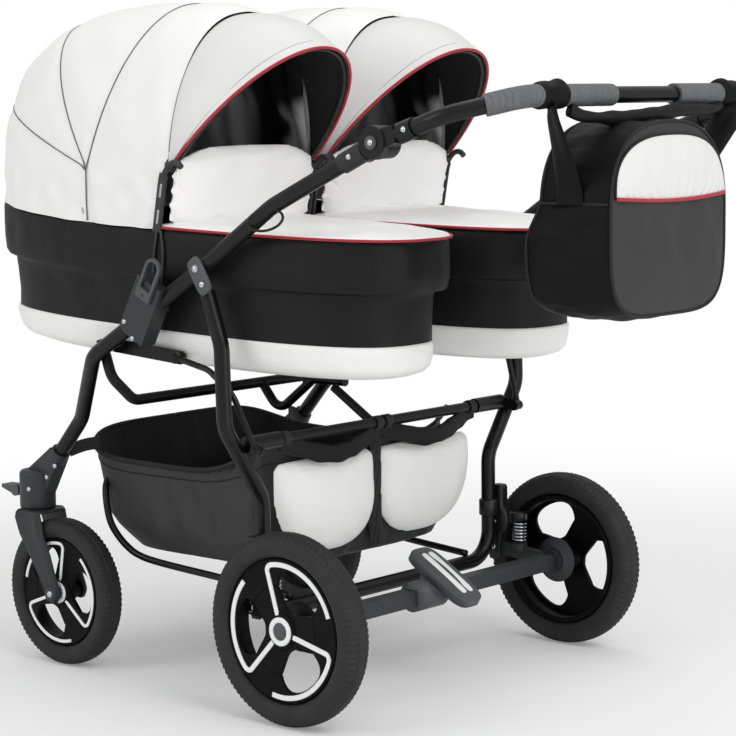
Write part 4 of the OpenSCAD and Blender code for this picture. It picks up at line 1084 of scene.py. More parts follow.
for sideName, side in sides:
    cot = sideName + "_cot"
    tub = sideName + "_tub"
    dress(addTub(tub + "_look", side), "blackLeather", cot, (tub,))
    dress(addBase(sideName + "_base_look", side), "whiteLeather", cot, (sideName + "_base",))
    pad = blowOut(addMattress(sideName + "_mattress_look", side), mattressSet["swell"])
    dress(pad, "mattressCloth", cot, (sideName + "_mattress",))
    # apron and wind flap take the brighter white leatherette: painted light where the hood shades them
    apron = addApron(sideName + "_apron_look", side)
    dress(apron, "paintedLightLeather", cot, (sideName + "_apron",))
    flap = blowOut(addFlap(sideName + "_wind_flap_look", side), flapSet["swell"])
    dress(flap, "paintedLightLeather", cot, (sideName + "_wind_flap",))
    rim = cotPlace(footArc(*apronSet["piping"], 180), side)
    tubePiece(sideName + "_apron_piping", rim, apronSet["pipingRadius"], "piping", cot)

    back = addHoodBack(sideName + "_hood_back_look", side)
    dress(back, "whiteLeather", cot, (sideName + "_hood_back",))
    lining = dress(addHoodLining(sideName + "_hood_lining", side), "lining", cot)
    addSeams(sideName, side)

    visor = addVisor(sideName + "_hood_front_look", side)
    # the front part's greyer white leatherette is painted shade
    dress(visor, "paintedShadeLeather", None, (sideName + "_hood_front",))
    # the front part's lining: an even painted shade, near black, in its colour
    inside = visorGrid(liningSet["visorInset"], liningSet["visorFrom"])
    inner = gridMesh(sideName + "_hood_front_lining", cotPlace(inside, side))
    dress(inner, "lining", None)
    setPaintedShade(inner, np.full(inside.shape[:2], liningSet["visorShade"]))
    edge = cotPlace(visorRow(hoodSet["visor"][1]), side)
    piping = tubePiece(sideName + "_hood_piping", edge, seamSet["pipingRadius"], "piping", None)
    hem = visorRow(seamSet["hem"])
    hem = hem + unit(hem - np.array(hoodSet["visorMiddle"])) * seamSet["hemOut"]
    stitch = tubePiece(sideName + "_hood_stitch", cotPlace(hem, side), seamSet["hemRadius"], "seam", None,
                       6)
    for obj in (visor, inner, piping, stitch):
        bendWithHood(obj)
print("cots built")


# bag: two faces and a gusset between them; the outline is a round top on a square foot, by powers of cosine
# and sine
bagSet = {"x": -553.0, "y": 26.0, "z": 792.0, "half": 150.0, "up": 136.0, "down": 150.0, "depth": 152.0,
          "topPower": 0.8, "footPower": 0.46, "faceBulge": 10.0, "sideBulge": 0.03, "frontTaper": 0.36,
          "taperFrom": -45.0, "taperRun": 72.0, "seamZ": 18.0, "rows": 22, "count": 220}


# from the bag's own frame to the pram's
def bagPlace(points):
    return points + np.array([bagSet["x"], bagSet["y"], bagSet["z"]])


# a ring of the bag at a share of its outline
def bagRing(q, x, count=bagSet["count"]):
    b = bagSet
    a = np.linspace(0, 2 * np.pi, 1600, endpoint=False)
    power = np.where(np.sin(a) > 0, b["topPower"], b["footPower"])
    y = b["half"] * q * spow(np.cos(a), power)
    z = np.where(np.sin(a) > 0, b["up"], b["down"]) * q * spow(np.sin(a), power)
    return evenly(np.stack([np.full_like(y, x), y, z], -1), count, True)


# rear face: share of the outline at a point gives the depth of the bulge there
def bagFaceX(y, z):
    b = bagSet
    power = np.where(z > 0, b["topPower"], b["footPower"])
    tall = np.where(z > 0, b["up"], b["down"])
    q = ((np.abs(y) / b["half"]) ** (2 / power) + (np.abs(z) / tall) ** (2 / power)) ** (power / 2)
    return -b["depth"] / 2 - b["faceBulge"] * (1 - np.minimum(q, 1) ** 3)


# the front half of the bag gets thinner towards its top
def bagTaper(points):
    rise = np.clip((points[..., 2] - bagSet["taperFrom"]) / bagSet["taperRun"], 0, 1)
    thin = 1 - bagSet["frontTaper"] * rise * rise * (3 - 2 * rise)
    points = points.copy()
    points[..., 0] = np.where(points[..., 0] > 0, points[..., 0] * thin, points[..., 0])
    return points


# rings over the rear face, the gusset and the front face; creases move the gusset, the face sags
def addBag(name):
    b = bagSet
    half = b["depth"] / 2
    q = np.linspace(0.04, 0.985, b["rows"])
    face = [(v, -half - b["faceBulge"] * (1 - v ** 3)) for v in q]
    t = np.linspace(0, 1, b["rows"])
    gusset = [(1 + b["sideBulge"] * math.sin(math.pi * v), -half + 2 * half * v) for v in t]
    rows = face + gusset + [(v, -x) for v, x in face[::-1]]
    grid = np.array([bagRing(v, x) for v, x in rows])
    none = np.zeros(b["rows"])
    onSide = np.concatenate([none, np.sin(np.pi * t) ** 0.6, none])
    full = np.clip((b["seamZ"] - grid[..., 2]) / 14, 0, 1)
    out = unit(grid * np.array([0, 1, 1]))
    crease = 2.2 * wobble(grid, 85, 61, (0.55, 1, 1.5)) + 1.0 * wobble(grid, 34, 62, (0.5, 1, 1.8))
    grid = grid + out * (onSide[:, None] * (crease + 6 * full))[..., None]
    onFace = np.concatenate([1 - q ** 6, none, none])
    low = np.clip(-grid[..., 2] / 150, 0, 1)
    grid[..., 0] -= onFace[:, None] * (2.0 * wobble(grid, 90, 63, (1, 1.2, 0.7)) + 5 * low)
    obj = cappedMesh(name, bagPlace(bagTaper(grid)))
    return obj, b["rows"] * b["count"], (len(rows) - 1) * b["count"]


# panel: a half round of white leatherette on the rear face, padded in its middle, gathered along its low
# edge
panelSet = {"wide": 0.95, "tall": 0.86, "power": 0.76, "low": 27.0, "sag": 6.0, "pad": 8.0, "gathers": 15,
            "gatherDepth": 1.8}


# a point of the panel: s along its edges, t from its low edge to its arch
def panelPoints(s, t):
    b, p = bagSet, panelSet
    lowY = p["wide"] * b["half"] * (1 - 2 * s)
    lowZ = p["low"] - p["sag"] * np.sin(np.pi * s)
    archY = p["wide"] * b["half"] * spow(np.cos(np.pi * s), p["power"])
    archZ = p["low"] + (p["tall"] * b["up"] - p["low"]) * spow(np.sin(np.pi * s), p["power"])
    return lowY + (archY - lowY) * t, lowZ + (archZ - lowZ) * t


# the pad is a product of sines; the gathers are a sine along the low edge that dies out upwards
def addPanel(name):
    p = panelSet
    s, t = np.meshgrid(np.linspace(0, 1, 200), np.linspace(0, 1, 40))
    y, z = panelPoints(s, t)
    pad = 1.6 + p["pad"] * np.sin(np.pi * t) ** 0.6 * np.sin(np.pi * s) ** 0.5
    flat = np.stack([0 * y, y, z], -1)
    folds = np.exp(-t / 0.25) * np.sin(2 * np.pi * p["gathers"] * s + 1.5 * wobble(flat, 60, 64))
    fall = np.clip(t / 0.06, 0.2, 1) * np.sin(np.pi * s) ** 0.4
    soft = 1.4 * np.sin(np.pi * t) * wobble(flat, 70, 65)
    x = bagFaceX(y, z) - pad - p["gatherDepth"] * folds * fall - soft
    return gridMesh(name, bagPlace(np.stack([x, y, z], -1)), flip=True)


bag, faceCount, quadCount = addBag("changing_bag_look")
dress(bag, "bagLeather", "bag", ("changing_bag",))
bag.data.materials.append(finishes["charcoal"])
number = np.arange(len(bag.data.polygons))
inFace = (number < faceCount) | ((number >= quadCount) & (number < quadCount + bagSet["count"]))
bag.data.polygons.foreach_set("material_index", inFace.astype(np.int32))
# the panel's greyer white leatherette is painted shade
panel = dress(addPanel("bag_panel"), "paintedShadeLeather", "bag")
along = np.linspace(0.0, 1.0, 120)
lowY, lowZ = panelPoints(along, np.zeros_like(along))
lowLine = np.stack([bagFaceX(lowY, lowZ) - 3.4, lowY, lowZ - 1.5], -1)
tubePiece("bag_red_piping", bagPlace(lowLine), 2.8, "piping", "bag")
archY, archZ = panelPoints(along, np.ones_like(along))
archLine = np.stack([bagFaceX(archY, archZ) - 2.2, archY, archZ], -1)
tubePiece("bag_panel_piping", bagPlace(archLine), 1.8, "darkSeam", "bag")
for k, end in enumerate((-1, 1)):
    edge = bagTaper(bagRing(1.0, end * bagSet["depth"] / 2, 240))
    tubePiece("bag_edge_piping_" + str(k), bagPlace(edge), 2.6, "darkSeam", "bag", 10, True)
seamX = np.linspace(-73, 73, 40)
seamY = bagSet["half"] * (1 + bagSet["sideBulge"] * np.cos(np.pi * seamX / bagSet["depth"])) + 2.0
for k, turn in enumerate((1, -1)):
    seam = np.stack([seamX, turn * seamY, np.full_like(seamX, bagSet["seamZ"])], -1)
    tubePiece("bag_side_seam_" + str(k), bagPlace(bagTaper(seam)), 2.2, "darkSeam", "bag")
print("bag built")


# straps: on each side a bunched sleeve round the push bar and a padded band that twists down to the bag's
# side; a rolled carry strap runs between the sleeves
strapSet = {"bar": (-562.0, 967.0), "sleeve": (204.0, 263.0), "inner": 17.2, "radius": 19.6, "width": 47.0,
            "thick": 9.0, "endZ": 808.0, "rollTall": 10.5, "rollDeep": 7.5, "crush": 0.16,
            "roll": [(-570, 196, 946), (-577, 165, 936), (-582, 80, 933), (-582, 0, 938), (-581, -90, 943),
                     (-577, -160, 943), (-570, -196, 948)]}


# sleeve: a ring of cloth round the bar, its height over the bar uneven and peaked at its inner edge
def addSleeve(name, side):
    s = strapSet
    cx, cz = s["bar"]
    run = np.linspace(*s["sleeve"], 26)
    y, a = np.meshgrid(run, np.linspace(0, 2 * np.pi, 48, endpoint=False), indexing="ij")
    around = np.stack([30 * np.cos(a), y, 30 * np.sin(a)], -1)
    peak = np.exp(-((y - s["sleeve"][0] - 12) / 12) ** 2) * np.maximum(0, np.sin(a)) ** 3
    end = np.clip(np.minimum(y - s["sleeve"][0], s["sleeve"][1] - y) / 4, 0, 1)
    r = s["inner"] + (s["radius"] - s["inner"] + 1.1 * wobble(around, 45, 91) + 5 * peak) * end
    grid = np.stack([cx + r * np.cos(a), side * y, cz + r * np.sin(a)], -1)
    return gridMesh(name, grid, wrapCols=True, flip=side > 0)


# a flat band along a path whose width turns from one direction to another
def twistedBand(path, first, last, profile):
    ahead = unit(np.gradient(path, axis=0))
    t = np.linspace(0, 1, len(path))[:, None]
    t = t * t * (3 - 2 * t)
    across = np.asarray(first, float) * (1 - t) + np.asarray(last, float) * t
    across = unit(across - ahead * (across * ahead).sum(-1, keepdims=True))
    other = np.cross(ahead, across)
    return path[:, None] + across[:, None] * profile[None, :, :1] + other[:, None] * profile[None, :, 1:]


# a padded band of two lobes: half an ellipse for each, with a groove between them
def lobedProfile(width, thick, count=28):
    a = np.linspace(0, 2 * np.pi, count, endpoint=False)
    lobe = 0.55 + 0.45 * np.abs(np.cos(a)) ** 0.5 * np.abs(np.sin(2 * a)) ** 0.4
    return np.stack([width / 2 * np.cos(a), thick / 2 * np.sin(a) * lobe], -1)


# a band on a curve from the bar down to the bag's side
def addBand(name, side):
    s = strapSet
    cx, cz = s["bar"]
    barY = side * sum(s["sleeve"]) / 2
    endY = side * (bagSet["half"] * 1.03 + 5) + bagSet["y"]
    path = curveThrough([(cx - 4, barY, cz - 12), (cx - 6, barY * 0.95 + endY * 0.05, cz - 34),
                         (cx - 4, (barY + endY) / 2, (cz + s["endZ"]) / 2), (cx, endY, s["endZ"] + 26),
                         (cx, endY - side * 2, s["endZ"])], 10)
    grid = twistedBand(path, (-0.75, 0.65 * side, 0), (-1, 0, 0), lobedProfile(s["width"], s["thick"]))
    return cappedMesh(name, grid)


for sideName, side in sides:
    dress(addSleeve("bag_sleeve_" + sideName, side), "bagLeather", "bag",
          ("bag_straps",) if side > 0 else ())
    dress(addBand("bag_band_" + sideName, side), "bagLeather", "bag")
roll = curveThrough(strapSet["roll"])
crush = 1 + strapSet["crush"] * wobble(roll, 60, 92)[:, None]
a = np.linspace(0, 2 * np.pi, 18, endpoint=False)[None, :]
section = np.stack([strapSet["rollTall"] * crush * np.cos(a), strapSet["rollDeep"] / crush * np.sin(a)], -1)
dress(cappedMesh("bag_carry_roll", sweep(roll, section)), "blackLeather", "bag")
print("straps built")


# basket: rings of cloth from the floor to the hem, the rear hem lifted to the cross bar by its loops; a row
# is the ring's two ends along the pram, its half width, its height, and its lift at the front and at the
# rear
basketSet = {"steps": (3, 4, 5, 5, 8, 16, 2), "count": 420, "thick": 2.2, "power": 0.36, "puckers": 58,
             "rows": [(13, 340, 205, 197, 8, 0), (-5, 364, 228, 204, 8, 0), (-11, 384, 236, 219, 8, 0),
                      (-13, 409, 243, 236, 10, 0), (-15, 427, 245, 252, 14, 0), (-17, 436, 246, 286, 22, 0),
                      (-17, 458, 249, 352, 40, 56), (-27, 460, 250, 355, 40, 70)]}


# a squared oval, lifted at the front by a cosine squared and at the rear by what hangs there
def basketRing(x0, x1, half, z, lift, hang):
    a = np.linspace(0, 2 * np.pi, 1600, endpoint=False)
    c, y = np.cos(a), spow(np.sin(a), basketSet["power"])
    back = np.minimum(1, 1.6 * np.maximum(0, -c) ** 1.2)
    x = (x0 + x1) / 2 + (x1 - x0) / 2 * spow(c, basketSet["power"])
    up = z + lift * np.maximum(0, c) ** 2 + hang * back * (0.75 + 0.25 * np.cos(np.radians(375 * y)))
    return evenly(np.stack([x, half * y, up], -1), basketSet["count"], True)


# folds by wobbles, a sag by a sine of the height, and puckers under the hem where the cloth is free
def addBasket(name):
    rows = rowsBetween(basketSet["rows"], basketSet["steps"])
    grid = np.array([basketRing(*r) for r in rows])
    height = np.linspace(0, 1, len(grid))[:, None]
    out = unit((grid - np.array([200, 0, 0])) * np.array([0.5, 1, 0]))
    around = np.linspace(0, 1, basketSet["count"], endpoint=False)[None, :]
    free = np.clip((330 - grid[..., 0]) / 120, 0.15, 1)
    waves = np.sin(2 * np.pi * basketSet["puckers"] * around + 1.5 * wobble(grid, 90, 71))
    pucker = np.clip((height - 0.55) / 0.45, 0, 1) ** 2 * waves
    folds = 4.0 * wobble(grid, 90, 72, (1, 1, 0.3)) + 2.6 * wobble(grid, 38, 73, (1, 1, 0.35)) - 1.6
    folds = folds * np.sin(np.pi * np.clip(height, 0.05, 0.95))
    sag = 5.0 * np.sin(np.pi * height) ** 2
    grid = grid + out * (free * (folds + 2.0 * pucker + sag - 4.0))[..., None]
    grid[..., 2] += 1.5 * pucker * free
    inner = grid - out * basketSet["thick"]
    inner[..., 2] += 0.4
    obj = cappedMesh(name, np.concatenate([grid, inner[::-1]]), False)
    return obj, (len(grid) - 1) * basketSet["count"], (grid + out * 0.5)[-7]


# the basket's pieces: their placement baked into their meshes
def bendWithFrame(obj):
    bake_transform(obj)


basket, outerCount, hemLine = addBasket("basket_look")
dress(basket, "charcoal", None, ("basket",))
basket.data.materials.append(finishes["blackLeather"])
onInside = np.arange(len(basket.data.polygons)) >= outerCount
basket.data.polygons.foreach_set("material_index", onInside.astype(np.int32))
bendWithFrame(basket)
hemSeam = tubePiece("basket_hem_seam", hemLine, 0.9, "darkSeam", None, 6, True)
bendWithFrame(hemSeam)
rodSet = {"radius": 6.0, "line": [(388, 231, 318), (382, 243, 303), (372, 251, 277), (362, 253.5, 250),
                                  (350, 252, 230), (328, 249, 209), (300, 245, 194), (250, 238, 185),
                                  (110, 229, 175), (-37, 226, 165)]}
rods = []
for name, side in sides:
    line = curveThrough(mirrored(rodSet["line"], side))
    rods.append(tubeAlong("basket_rod_" + name, line, rodSet["radius"], 14))
rod = dress(joined("basket_rod_look", rods), "tubePaint", None, ("basket_rod",))
bendWithFrame(rod)
hem = basketRing(*basketSet["rows"][-1])
rimLine = tubePiece("basket_rim", hem[hem[:, 0] > -12], 4.2, "darkSeam", None)
bendWithFrame(rimLine)
cornerSet = {"line": [(398, 238, 379), (412, 262, 376), (424, 288, 368)], "width": 22.0, "thick": 2.4}
corners = []
for name, side in sides:
    strap = curveThrough(mirrored(cornerSet["line"], side))
    grid = sweep(strap, strapProfile(cornerSet["width"], cornerSet["thick"]), False, (0, 0, 1))
    corners.append(cappedMesh("basket_corner_" + name, grid))
dress(joined("basket_corner_straps", corners), "webbing", "chassis")
loopSet = {"bar": (-37.0, 425.0), "radius": 10.6, "places": (-12.0, 12.0, -238.0, 238.0), "width": 17.0,
           "thick": 2.4}
turn = np.linspace(0, 2 * np.pi, 28, endpoint=False)
loops = []
for k, y in enumerate(loopSet["places"]):
    path = np.stack([loopSet["bar"][0] + loopSet["radius"] * np.cos(turn), np.full_like(turn, y),
                     loopSet["bar"][1] + loopSet["radius"] * np.sin(turn)], -1)
    grid = sweep(path, strapProfile(loopSet["width"], loopSet["thick"]), True, (0, 1, 0))
    loops.append(gridMesh("basket_loop_" + str(k), grid, wrapRows=True, wrapCols=True, flip=True))
dress(joined("basket_loops", loops), "webbing", "rear_frame")


# pockets: a flat gathered top on a round foot, blown out from the basket's rear; the outer edge runs in to
# the foot; the powers are those of the top and of the foot
pocketSet = {"x": -19.0, "y": 127.0, "z": 334.0, "half": 122.0, "up": 50.0, "down": 112.0, "deep": 25.0,
             "skew": 0.22, "powers": (0.26, 0.8), "swell": 8.0, "pinBefore": 4.0}


# depth by a power of the share of the outline; the gathers are a sine that dies out downwards
def addPocket(name, side):
    p = pocketSet
    a = np.linspace(0, 2 * np.pi, 1600, endpoint=False)
    s = np.sin(a)
    power = np.where(s > 0, *p["powers"])
    y = p["half"] * spow(np.cos(a), power)
    z = np.where(s > 0, p["up"], p["down"]) * spow(s, power)
    y = y - np.where(z < 0, p["skew"] * -z * 0.5, 0)
    ring = evenly(np.stack([0 * y, y, z], -1), 220, True)
    q = np.concatenate([np.linspace(0.03, 0.98, 30), [1.0]])[:, None]
    grid = ring[None] * q[..., None]
    up = np.clip(grid[..., 2] / p["up"], 0, 1)
    deep = p["deep"] * (1 - q ** 5) ** 0.62 * (1 - 0.3 * up ** 3)
    gather = np.exp(-(p["up"] - grid[..., 2]) / 24) * np.sin(grid[..., 1] / 5.2 + 1.4 * wobble(grid, 40, 81))
    soft = 2.2 * wobble(grid, 66, 82 + (side > 0), (1, 1, 0.6)) * (1 - q ** 3)
    grid[..., 0] = -deep - soft - 1.1 * gather * (1 - 0.8 * q ** 8)
    grid = np.concatenate([grid, ring[None] * 0.05])
    grid[..., 1] *= side
    grid = grid + np.array([p["x"], side * p["y"], p["z"]])
    return cappedMesh(name, grid, side > 0)


# the pockets take the brighter white leatherette: painted light where the cots shade them
for sideName, side in sides:
    pocket = addPocket("basket_pocket_" + sideName, side)
    pocket = blowOut(pocket, pocketSet["swell"], pocketSet["x"] - pocketSet["pinBefore"])
    dress(pocket, "paintedLightLeather", "rear_frame", ("basket_pockets",) if side > 0 else ())

# pleat: a strip between the pockets, bowed out and rippled by a slanting sine
pleatSet = {"half": 14, "low": 214, "high": 400, "count": 60, "x": -22, "bow": 8, "ripple": 2.6}
pleatY, pleatZ = np.meshgrid(np.linspace(-pleatSet["half"], pleatSet["half"], pleatSet["count"]),
                             np.linspace(pleatSet["low"], pleatSet["high"], pleatSet["count"]))
ripple = pleatSet["ripple"] * np.sin(pleatY * 0.9 + pleatZ * 0.12)
pleatX = pleatSet["x"] - pleatSet["bow"] * np.cos(pleatY / (2 * pleatSet["half"]) * np.pi) - ripple
pleat = gridMesh("basket_pleat", np.stack([pleatX, pleatY, pleatZ], -1), flip=True)
dress(pleat, "charcoal", "rear_frame")

# band: a folded strip that hangs from the loops over the pockets' tops, sagging between the loops
bandSet = {"half": 246, "tall": 15, "thick": 5.5, "power": 0.7}
bandY = np.linspace(-bandSet["half"], bandSet["half"], 160)
sag = np.abs(np.sin(np.pi * bandY / bandSet["half"])) ** 1.4
bandZ = 413 - 25 * sag + 6 * (np.abs(bandY) / bandSet["half"]) ** 4
bandLine = np.stack([-34 - 14 * sag, bandY, bandZ], -1)
bandTall = bandSet["tall"] + 1.2 * wobble(bandLine, 40, 93)[:, None]
a = np.linspace(0, 2 * np.pi, 20, endpoint=False)[None, :]
up, out = bandTall * spow(np.cos(a), bandSet["power"]), bandSet["thick"] * spow(np.sin(a), bandSet["power"])
section = np.stack(np.broadcast_arrays(up, out), -1)
dress(cappedMesh("basket_band", sweep(bandLine, section)), "blackLeather", "rear_frame")
print("basket built")


# brake pedal: a rocker with a domed top and two white inlays, tilted about the axle
pedalSet = {"place": (-179.0, 2.0, 185.0), "tilt": -31.0, "long": 70.0, "half": 32.0, "thick": 15.0,
            "dome": 5.0, "post": [(0.01, -4), (25, -4), (25, 64), (0.01, 64)],
            "postPlace": (-155.0, 0.0, 152.0), "neckFoot": (-155.0, 26.0, 150.0),
            "neckHead": (4.0, 2.0, -9.0), "inlays": (-8.2, 8.2), "inlay": (52.0, 7.2, -1.0, 4.0, 2.2),
            "inlayEdge": 1.5}


# from the pedal's own frame to the pram's
def pedalPlace(points):
    return tilted(points, pedalSet["tilt"]) + np.array(pedalSet["place"])


# a flat pad with an oval outline of power 4: rows from the middle of the top, over the edge, to the middle
# of the foot
def ovalPad(long, half, low, high, dome, shift=(0.0, 0.0), edge=3.0):
    shares = np.linspace(0.03, 1, 12)
    rows = [((long - edge) * q, (half - edge) * q, high + dome * (1 - q * q)) for q in shares]
    for t in np.linspace(0.3, 1.57, 5):
        grow = edge * (math.sin(t) - 1)
        rows.append((long + grow, half + grow, high - edge * (1 - math.cos(t))))
    rows += [(long, half, low), (0.05 * long, 0.05 * half, low)]
    a = np.linspace(0, 2 * np.pi, 96, endpoint=False)
    c, s = spow(np.cos(a), 0.5), spow(np.sin(a), 0.5)
    grid = np.array([np.stack([x * c, y * s, np.full_like(c, z)], -1) for x, y, z in rows])
    return grid + np.array([shift[0], shift[1], 0])


p = pedalSet
rockerGrid = pedalPlace(ovalPad(p["long"], p["half"], -p["thick"], 0.0, p["dome"]))
rocker = cappedMesh("brake_pedal_rocker", rockerGrid)
post = turned("brake_pedal_post", p["post"], np.array(p["postPlace"]), 1.0, 48)
turn = np.linspace(0, 2 * np.pi, 48, endpoint=False)[:, None]
tilt = math.radians(p["tilt"])
neckRows = []
for t in np.linspace(0, 1, 12):
    centre = np.array(p["neckFoot"]) * (1 - t) + pedalPlace(np.array(p["neckHead"])) * t
    along = np.array([math.cos(tilt) * t + (1 - t), 0, -math.sin(tilt) * t])
    across = np.array([0, 1.0, 0])
    neckRows.append(centre + (20 + 26 * t ** 2) * np.cos(turn) * along + (25 + t) * np.sin(turn) * across)
neck = cappedMesh("brake_pedal_neck", np.array(neckRows), False)
pedal = joined("brake_pedal_look", [rocker, post, neck])
dress(pedal, "midPlastic", "brake", ("brake_pedal",))
for k, y in enumerate(p["inlays"]):
    grid = pedalPlace(ovalPad(*p["inlay"], (0.0, y), p["inlayEdge"]))
    inlay = cappedMesh("brake_inlay_" + str(k), grid)
    dress(inlay, "rimWhite", "brake")
print("pedal built")


# hood arms: a flat strip with a hook at the pivot, two bright slots and two thin rods down to the adapter
armSet = {"strip": [(-54, 849), (-50, 836), (-43, 800), (-35, 757)], "slots": ((834, 812), (792, 770)),
          "hook": [(-93, 860), (-84, 867), (-70, 865), (-58, 853), (-53, 843)], "out": 174.5,
          "rods": ([(-44, 760), (-48, 717), (-38, 652)], [(-36, 760), (-27, 712), (-26, 652)]),
          "stripProfile": (17.0, -2.0, 2.4), "slotProfile": (4.6, 1.0, 3.0), "hookRadius": 5.0,
          "rodRadius": 2.3}


# a smooth line through pairs of x and z at one y
def inPlane(pairs, y, steps=8):
    pairs = np.asarray(pairs, float)
    return curveThrough(np.stack([pairs[:, 0], np.full(len(pairs), float(y)), pairs[:, 1]], -1), steps)


# a closed profile with bevelled upper corners, from its width and its two heights
def flatProfile(width, low, high, bevel=0.7):
    w = width / 2
    right = [(w - bevel, high), (w, high - bevel), (w, low)]
    return np.array([(-x, y) for x, y in right[::-1]] + right)


# a flat strip on the side of a cot
def sideStrip(name, line, profile, side, turn):
    grid = sweepFlat(line, flatProfile(*profile), np.array([0, turn, 0.0]))
    return cappedMesh(name, cotPlace(grid, side), turn > 0)


# an arm: its strip, its hook and two rods
def addArm(name, side, turn):
    s, y = armSet, turn * armSet["out"]
    pieces = [sideStrip(name + "_strip", inPlane(s["strip"], y), s["stripProfile"], side, turn)]
    pieces.append(tubeAlong(name + "_hook", cotPlace(inPlane(s["hook"], y), side), s["hookRadius"], 12))
    for k, rod in enumerate(s["rods"]):
        pieces.append(tubeAlong(name + "_rod" + str(k), cotPlace(inPlane(rod, y), side), s["rodRadius"], 8))
    return joined(name, pieces)


# the bright slots: the parts of the strip's line between two heights
def addSlots(name, side, turn):
    line = inPlane(armSet["strip"], turn * armSet["out"], 30)
    pieces = []
    for k, (high, low) in enumerate(armSet["slots"]):
        part = line[(line[:, 2] < high) & (line[:, 2] > low)]
        pieces.append(sideStrip(name + str(k), part, armSet["slotProfile"], side, turn))
    return joined(name, pieces)


for sideName, side in sides:
    cot = sideName + "_cot"
    for k, turn in enumerate((1, -1)):
        arm = addArm(sideName + "_hood_arm_" + str(k), side, turn)
        dress(arm, "darkPlastic", cot, (sideName + "_hood_arms",) if k == 0 else ())
        slots = addSlots(sideName + "_hood_arm_slots_" + str(k), side, turn)
        dress(slots, "silver", cot)
print("hood arms built")


# fold plates: an oval cheek at each fold hinge with two rivets; local length along the leg, height out of
# the side; the adapters' rivets are places along the pram and in height
foldSet = {"pivot": (5.0, 705.0), "lean": 58.0, "shift": 13.0, "long": 31.0, "half": 15.5, "y": 385.2,
           "rivets": (0.0, 28.0), "rivetLift": 5.4, "adapterRivets": ((165.0, 614.0), (147.0, 588.0)),
           "adapterY": 393.0}


# from a plate's own frame to the pram's side: length down the lean, height outwards
def sidePlace(grid, centre, lean, y, side):
    a = math.radians(lean)
    x = centre[0] - grid[..., 0] * math.cos(a) + grid[..., 1] * math.sin(a)
    z = centre[1] - grid[..., 0] * math.sin(a) - grid[..., 1] * math.cos(a)
    return np.stack([x, side * (y + grid[..., 2]), z], -1)


# a rivet's domed head: rings from its middle to its rim and down
def rivetHead(radius, high):
    a = np.linspace(0, 2 * np.pi, 20, endpoint=False)
    rows = [(0.05, 1.0), (0.4, 0.93), (0.7, 0.75), (0.9, 0.45), (1.0, 0.0), (1.0, -0.6)]
    x, y = radius * np.cos(a), radius * np.sin(a)
    return np.array([np.stack([r * x, r * y, np.full_like(a, high * h)], -1) for r, h in rows])


# grids of rivet heads as one bright piece
def rivetPiece(name, part, grids, body, side):
    heads = []
    for k, grid in enumerate(grids):
        heads.append(gridMesh(part + str(k), grid, wrapCols=True, capStart=True, flip=side > 0))
    dress(joined(name, heads), "silver", body)


for sideName, side in sides:
    place = (foldSet["pivot"], foldSet["lean"], foldSet["y"], side)
    cheek = ovalPad(foldSet["long"], foldSet["half"], 0.0, 4.0, 1.4, (foldSet["shift"], 0.0), 2.0)
    plate = cappedMesh("fold_plate_" + sideName, sidePlace(cheek, *place), side > 0)
    dress(plate, "midPlastic", "rear_frame", ("fold_plates",) if side > 0 else ())
    spots = [np.array([along, 0, foldSet["rivetLift"]]) for along in foldSet["rivets"]]
    heads = [sidePlace(rivetHead(5.2, 2.6) + spot, *place) for spot in spots]
    rivetPiece("fold_rivets_" + sideName, "fold_rivet_" + sideName, heads, "rear_frame", side)
    spots = foldSet["adapterRivets"]
    heads = [sidePlace(rivetHead(4.4, 2.4), spot, 0.0, foldSet["adapterY"], side) for spot in spots]
    rivetPiece("adapter_rivets_" + sideName, "adapter_rivet_" + sideName, heads, "chassis", side)

# rail loop: a wire ring beside the left rail, an oval laid aslant
railSet = {"centre": (-139.0, 380.0, 784.0), "along": (32.0, 4.0, -6.0), "across": (2.0, 0.0, 15.5),
           "wire": 2.1}
turn = np.linspace(0, 2 * np.pi, 60, endpoint=False)[:, None]
line = np.array(railSet["centre"]) + np.array(railSet["along"]) * np.cos(turn)
line = line + np.array(railSet["across"]) * np.sin(turn)
ring = tubeAlong("rail_loop_look", line, railSet["wire"], 10, True)
dress(ring, "darkSeam", "chassis", ("rail_loop",))
print("small fittings built")


# forks: two tapering blades with a ridge along each edge and a groove between, under a rounded crown; rows
# give the height, the middle and the half width of a blade, from the wheel's own middle
forkSet = {"rows": [(139, 61, 20), (134, 61, 29), (124, 61, 32), (98, 53, 29), (65, 33, 25.5), (33, 16, 20),
                    (9, 3, 17), (-5, 0, 15.5), (-16, 0, 8)],
           "steps": (2, 3, 5, 6, 6, 5, 4, 4), "inner": 26.5, "thick": 8.0, "ridge": 3.4, "groove": 1.6,
           "crown": (60.0, 32.0, 38.0, 133.5, 138.0), "hub": 37.5, "swivel": 67.0,
           "boss": [(0.01, 26.5), (14, 26.5), (13.5, 36.0), (11, 37.5), (0.01, 37.5)],
           "sleeve": [(26.5, 266.5), (30.0, 267.0), (31.0, 269.0), (31.0, 325.0), (30.0, 329.0),
                      (27.0, 332.0), (20.0, 333.2)]}


